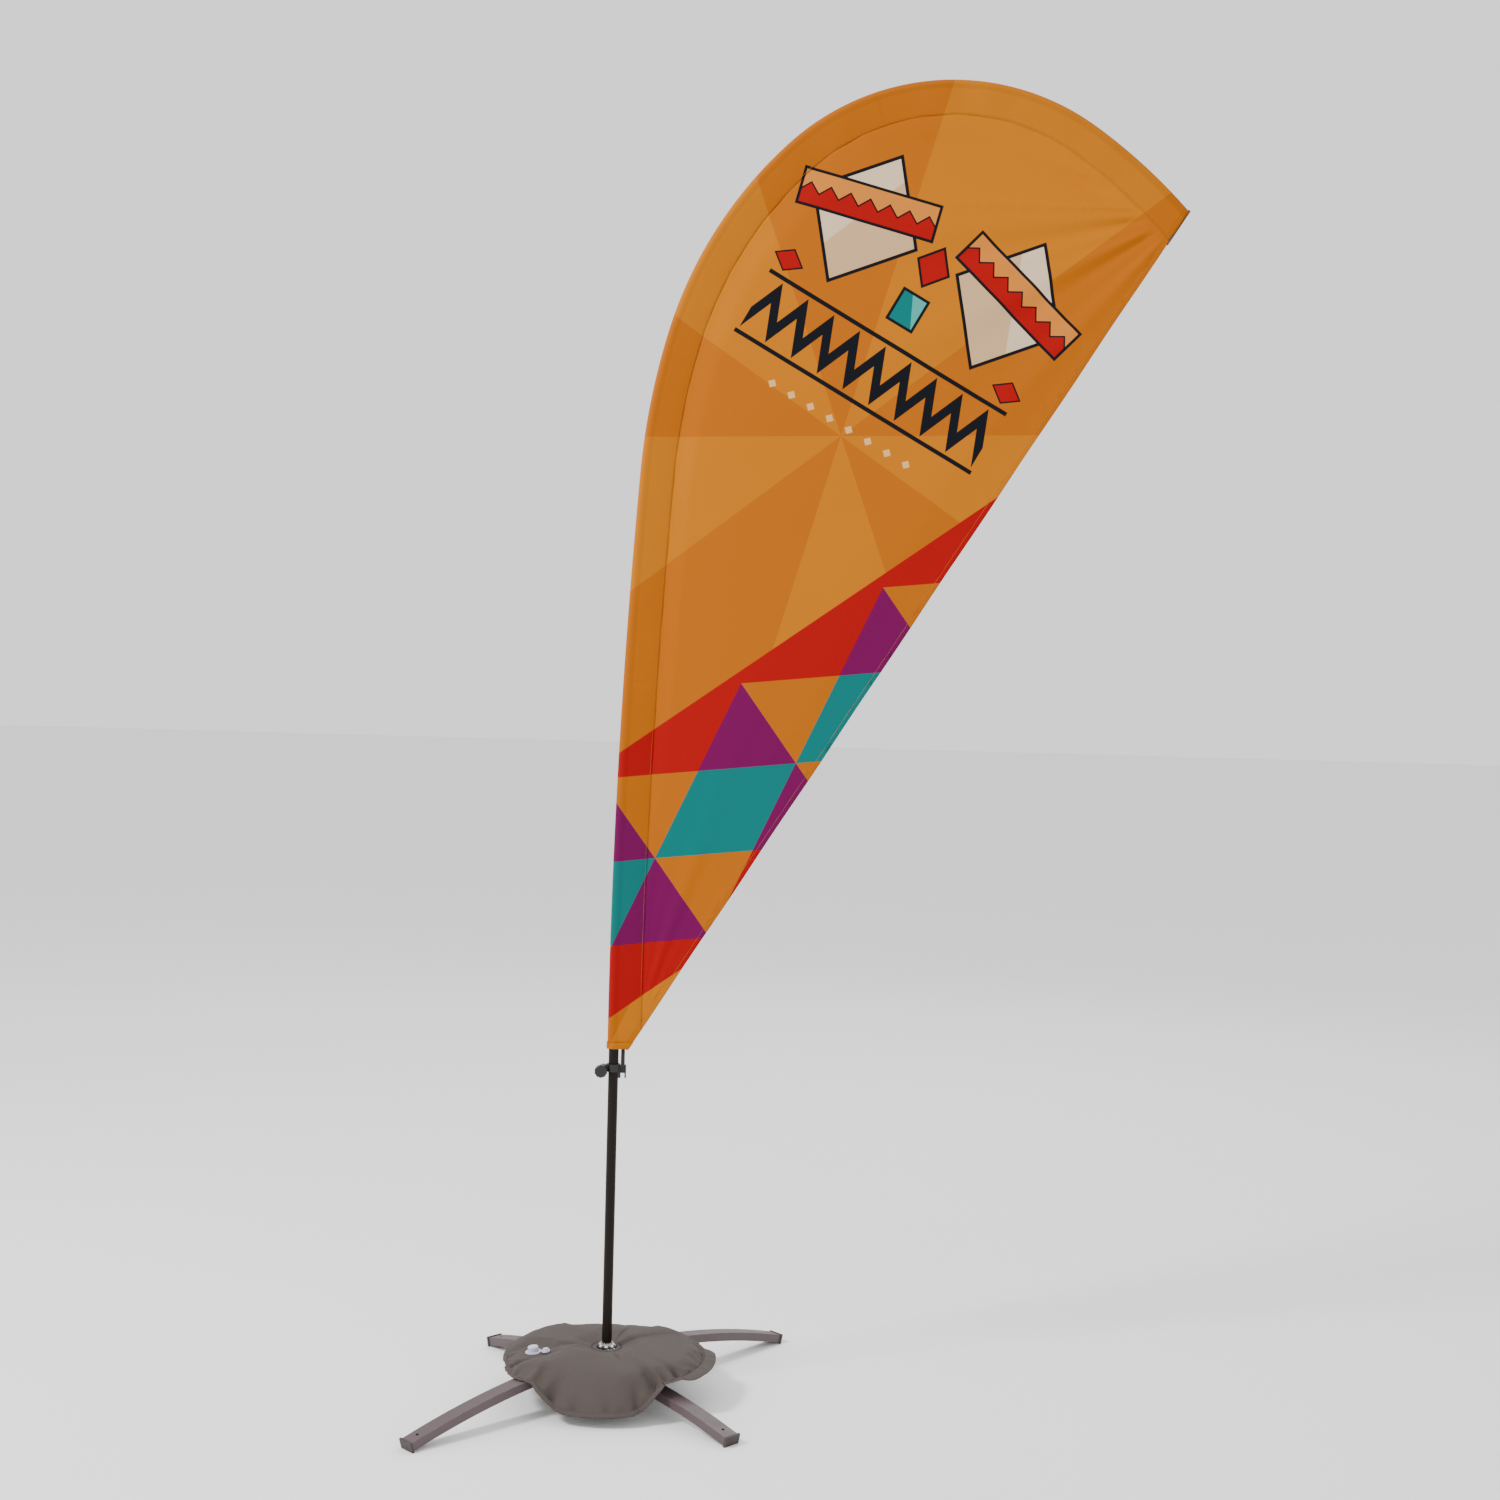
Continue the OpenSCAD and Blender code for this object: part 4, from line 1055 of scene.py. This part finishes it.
def inflate_bag(piece):
    """Fills the bag by cloth simulation under pressure, held at its hole, its weld and its
    filler. No point moves further than the cap."""
    cap = 11 * MM
    filler_hold = 34 * MM
    frames = 20
    rest = [v.co.copy() for v in piece.data.vertices]
    held = piece.vertex_groups.new(name="held")
    for index in range(len(rest)):
        ring = index // BAG_SPOKES
        from_hole = min(ring, 2 * BAG_RINGS + 1 - ring)
        from_weld = min(abs(ring - BAG_RINGS), abs(ring - BAG_RINGS - 1))
        weight = 1.0 if from_hole == 0 else (0.25 if from_weld == 0 else 0.0)
        place = rest[index]
        from_filler = math.hypot(place.x - FILLER.x, place.y - FILLER.y)
        if ring <= BAG_RINGS and from_filler < filler_hold:
            weight = 1.0
        if weight:
            held.add([index], weight, "REPLACE")
    cloth = piece.modifiers.new("Inflate", "CLOTH")
    settings = {"quality": 5, "mass": 0.3, "tension_stiffness": 18, "compression_stiffness": 12,
                "bending_stiffness": 0.4, "vertex_group_mass": "held", "use_pressure": True,
                "uniform_pressure_force": 3.2, "shrink_min": -0.03}
    for name, value in settings.items():
        setattr(cloth.settings, name, value)
    cloth.settings.effector_weights.gravity = 0.0
    cloth.point_cache.frame_start = 1
    cloth.point_cache.frame_end = frames
    for number in range(1, frames + 1):
        bpy.context.scene.frame_set(number)
    shape = piece.evaluated_get(bpy.context.evaluated_depsgraph_get())
    moved = [v.co.copy() for v in shape.data.vertices]
    piece.modifiers.remove(cloth)
    bpy.context.scene.frame_set(1)
    for vertex, old, new in zip(piece.data.vertices, rest, moved):
        step = new - old
        if step.length > cap:
            step *= cap / step.length
        vertex.co = old + step


def draw_in_creases(piece):
    """Draws the top cloth in, along its own normals, beside the weld's creases."""
    piece.data.update()
    points = piece.data.vertices
    fold = np.zeros(len(points))
    for j in range(BAG_SPOKES):
        spoke = [points[i * BAG_SPOKES + j] for i in range(BAG_RINGS + 1)]
        steps = [(b.co - a.co).length for a, b in zip(spoke, spoke[1:])]
        along = np.concatenate([[0.0], np.cumsum(steps)])
        drawn = crease_depth(along[-1] - along, 2 * math.pi * j / BAG_SPOKES)
        moved = [point.co - point.normal * depth for point, depth in zip(spoke, drawn)]
        for point, place, depth in zip(spoke, moved, drawn):
            point.co = place
            fold[point.index] = depth
    add_field(piece, "fold", fold)


def keep_off_bars(piece):
    """Lifts any point that would sink below the bag's room over the bars."""
    for vertex in piece.data.vertices:
        r = math.hypot(vertex.co.x, vertex.co.y)
        a = math.atan2(vertex.co.y, vertex.co.x)
        inner = min(max(r, HOLE_R), rim_radius(a))
        lowest = bag_floor(inner, a)
        if r > rim_radius(a):
            lowest = min(lowest, bar_top(r) + BAR_ROOM)
        slack = 4 * MM * hang(inner, a)
        vertex.co.z = max(vertex.co.z, lowest - slack)


def make_bag(cloth):
    """The filled bag."""
    piece = bag_mesh(cloth)
    inflate_bag(piece)
    draw_in_creases(piece)
    keep_off_bars(piece)
    finer = piece.modifiers.new("Smooth cloth", "SUBSURF")
    finer.levels = 1
    finer.render_levels = 1
    return piece


def weld_line(bag):
    """The bag's rim after filling: the middle of its two outermost rings of points."""
    points = []
    for j in range(BAG_SPOKES):
        upper = bag.data.vertices[BAG_RINGS * BAG_SPOKES + j].co
        lower = bag.data.vertices[(BAG_RINGS + 1) * BAG_SPOKES + j].co
        points.append((np.array(upper) + np.array(lower)) / 2)
    return points


def make_weld(bag, cloth):
    """The welded flange round the bag, waved where the cloth is drawn in."""
    reach = 7.0
    droop = math.radians(65)
    # Distance out from the weld and half thickness, in mm
    section = [(-3.0, 1.0), (0.5, 1.0), (4.0, 0.75), (reach, 0.6),
               (reach, -0.4), (4.0, -0.6), (0.5, -0.8), (-3.0, -0.8)]
    verts = []
    for j, place in enumerate(weld_line(bag)):
        a = 2 * math.pi * j / BAG_SPOKES
        out = np.array([math.cos(a), math.sin(a), 0.0])
        wave = 0.0
        for azimuth, _, deep in CREASES:
            off = beside(a, azimuth)
            wave += deep * MM * 0.45 * math.cos(off * 60) * math.exp(-(off / 0.07) ** 2)
        # The flange stands out over the bars and hangs down where the bag does
        hung = hang(rim_radius(a), a)
        wave *= hung
        fall = droop * hung
        flange = out * math.cos(fall) - np.array([0.0, 0.0, math.sin(fall)])
        face = out * math.sin(fall) + np.array([0.0, 0.0, math.cos(fall)])
        for along, thick in section:
            spread = max(along, 0.0) / reach
            verts.append(place + flange * along * MM + face * (thick * MM + wave * spread))
    faces = grid_faces(BAG_SPOKES, len(section), wrap_rows=True, wrap_columns=True)
    return new_object("weight_bag_weld", verts, [f[::-1] for f in faces], cloth)


def make_flap(bag, cloth):
    """Loose lip of cloth beyond the weld at the right of the bag, with rounded corners."""
    first, last = math.radians(-40), math.radians(14)
    rim_heights = [place[2] for place in weld_line(bag)]
    spokes, rings = 60, 10
    verts = []
    for i in range(rings + 1):
        outward = i / rings
        for j in range(spokes + 1):
            share = j / spokes
            a = first + (last - first) * share
            turn = a / (2 * math.pi) * BAG_SPOKES
            before = math.floor(turn)
            level = rim_heights[before % BAG_SPOKES] * (before + 1 - turn)
            level += rim_heights[(before + 1) % BAG_SPOKES] * (turn - before)
            corner = min(share, 1 - share) / 0.16
            width = 24 * MM * math.sqrt(min(1.0, max(corner, 0.04)) * (2 - min(1.0, corner)))
            r = rim_radius(a) - 1.0 * MM + width * outward
            ripple = 1.2 * MM * math.sin(11 * a + 1.0) * outward
            z = max(float(level) + 1.0 * MM - 5.0 * MM * outward ** 2 + ripple, bar_top(r) + 1.5 * MM)
            verts.append((*on_circle(r, a), z))
    piece = new_object("bag_flap_cloth", verts, grid_faces(rings + 1, spokes + 1), cloth)
    thicken(piece, 1.2 * MM)
    return piece


def make_binding(cloth):
    """Rolled edge round the bag's hole."""
    low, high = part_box("bag_hole_binding")
    inner, outer = 20.6 * MM, 30.6 * MM
    mid_r, half_r = (inner + outer) / 2, (outer - inner) / 2
    mid_z, half_z = (low.z + high.z) / 2, (high.z - low.z) / 2
    section = [(mid_r + c * half_r, mid_z + s * half_z) for c, s in ring_points(20, 0.6, 0.8)]
    spokes = 144
    verts = []
    for j in range(spokes):
        a = 2 * math.pi * j / spokes
        for r, z in section:
            gather = 0.22 * MM * math.sin(36 * a) * (1 if r > 27 * MM else 0.3)
            verts.append((*on_circle(r, a), z + (gather if z > mid_z else 0)))
    faces = grid_faces(spokes, len(section), wrap_rows=True, wrap_columns=True)
    return new_object("bag_hole_binding_tape", verts, [f[::-1] for f in faces], cloth)


# ---------- camera, floor and light ----------


def make_camera():
    """The photo's view."""
    camera = bpy.data.objects.new("camera", bpy.data.cameras.new("camera"))
    bpy.context.scene.collection.objects.link(camera)
    camera.data.lens = 50
    camera.data.sensor_width = 36
    pitch, roll = math.radians(2.754), math.radians(1.555)
    turn = Matrix.Rotation(math.pi / 2 - pitch, 4, "X") @ Matrix.Rotation(roll, 4, "Z")
    camera.matrix_world = Matrix.Translation((0.268, -4.326, 1.572)) @ turn
    bpy.context.scene.camera = camera


def make_stage():
    """Pale floor and an even white surround."""
    m = Material("pale_floor", Roughness=0.9, Specular_IOR_Level=0.1)
    m.colour(m.mix(m.noise(3.0), (0.88, 0.88, 0.88), (0.90, 0.90, 0.90)))
    half = 30
    corners = [(-half, -half, 0), (half, -half, 0), (half, half, 0), (-half, half, 0)]
    floor = new_object("floor", corners, [(0, 1, 2, 3)], m.data)
    world = bpy.data.worlds.new("studio")
    world.use_nodes = True
    world.node_tree.nodes["Background"].inputs["Color"].default_value = (1.0, 1.0, 1.0, 1.0)
    world.node_tree.nodes["Background"].inputs["Strength"].default_value = 1.3
    bpy.context.scene.world = world


def area_light(name, place, target, size, power):
    lamp = bpy.data.objects.new(name, bpy.data.lights.new(name, "AREA"))
    bpy.context.scene.collection.objects.link(lamp)
    lamp.data.shape = "DISK"
    lamp.data.size = size
    lamp.data.energy = power
    lamp.location = place
    lamp.rotation_euler = (Vector(target) - Vector(place)).to_track_quat("-Z", "Y").to_euler()


# ---------- putting it together ----------

make_camera()
make_stage()
area_light("key", (-3.6, -2.2, 4.6), (0.4, 0.0, 1.3), 1.2, 330)
area_light("fill", (3.8, -3.2, 2.2), (0.4, 0.0, 1.2), 3.0, 20)
area_light("back", (1.5, 4.0, 3.8), (0.4, 0.0, 1.6), 2.6, 70)

print_cloth = flag_cloth()
thread = plain_cloth("orange_thread", srgb(150, 92, 22), 0.6 * MM, "XZ")
black_web = webbing("black_webbing", srgb(26, 25, 25))
brown_web = webbing("brown_webbing", srgb(84, 48, 30))
bag_cloth = plain_cloth("bag_cloth", srgb(73, 65, 62), 0.9 * MM, "XY", rough=0.9, sheen=0.03)

panel = make_panel(print_cloth)
hem = make_hem(print_cloth)
sleeve = make_sleeve(print_cloth)
mouth = make_bottom_hem(print_cloth)
hem_thread = hem_stitches(thread)
seam_thread = seam_stitches(thread)
strap = make_strap(black_web)
patch = make_corner_patch(black_web)
pocket = make_tip_pocket(brown_web)
for piece, node, slot in ((panel, "flag_panel", "flag_print"), (hem, "free_edge_hem", "hem_print"),
                          (sleeve, "pole_sleeve", "sleeve_print"), (mouth, "bottom_hem", "sleeve_print"),
                          (strap, "tension_strap", "strap_webbing"), (patch, "corner_patch", "strap_webbing"),
                          (pocket, "tip_pocket", "tip_webbing"), (hem_thread, None, "hem_print"),
                          (seam_thread, None, "sleeve_print")):
    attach(piece, "mast")
    if node:
        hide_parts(node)

bag = make_bag(bag_cloth)
weld = make_weld(bag, bag_cloth)
flap = make_flap(bag, bag_cloth)
binding = make_binding(bag_cloth)
for piece, node, slot in ((bag, "water_bag", "bag_filled"), (weld, None, "bag_cloth"),
                          (flap, "bag_flap", "bag_cloth"), (binding, "bag_hole_binding", "bag_cloth")):
    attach(piece, "weight_bag")
    if node:
        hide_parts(node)

FINISHES = {
    "bar_paint": powder_coat(),
    "cap_plastic": moulded("cap_plastic", srgb(48, 39, 39), 0.6),
    "zinc_steel": metal("zinc_plate", (0.62, 0.62, 0.60), 0.30),
    "nylon": moulded("natural_nylon", srgb(222, 216, 200), 0.5),
    "chrome": metal("chrome", (0.82, 0.82, 0.83), 0.09, marks=0.04),
    "bearing_steel": metal("ground_steel", (0.58, 0.58, 0.60), 0.22, brushed=(1.0, 1.0, 12.0)),
    "o_ring_rubber": moulded("black_rubber", srgb(24, 24, 24), 0.7),
    "pole_black": anodised(),
    "pole_fibreglass": wrapped_fibreglass(),
    "ferrule_metal": metal("satin_aluminium", (0.62, 0.62, 0.63), 0.35, brushed=(8.0, 8.0, 1.0)),
    "tip_plastic": moulded("tip_plastic", srgb(26, 25, 24), 0.5),
    "clamp_plastic": moulded("black_nylon", srgb(17, 16, 15), 0.42, pale=srgb(52, 49, 47)),
    "filler_plastic": milky_plastic(),
}
for subpart in frame["record"]["subparts"]:
    finish = FINISHES.get(subpart["material_slot"])
    if finish:
        node = NODES[subpart["node"]]
        node.data.materials.clear()
        node.data.materials.append(finish)
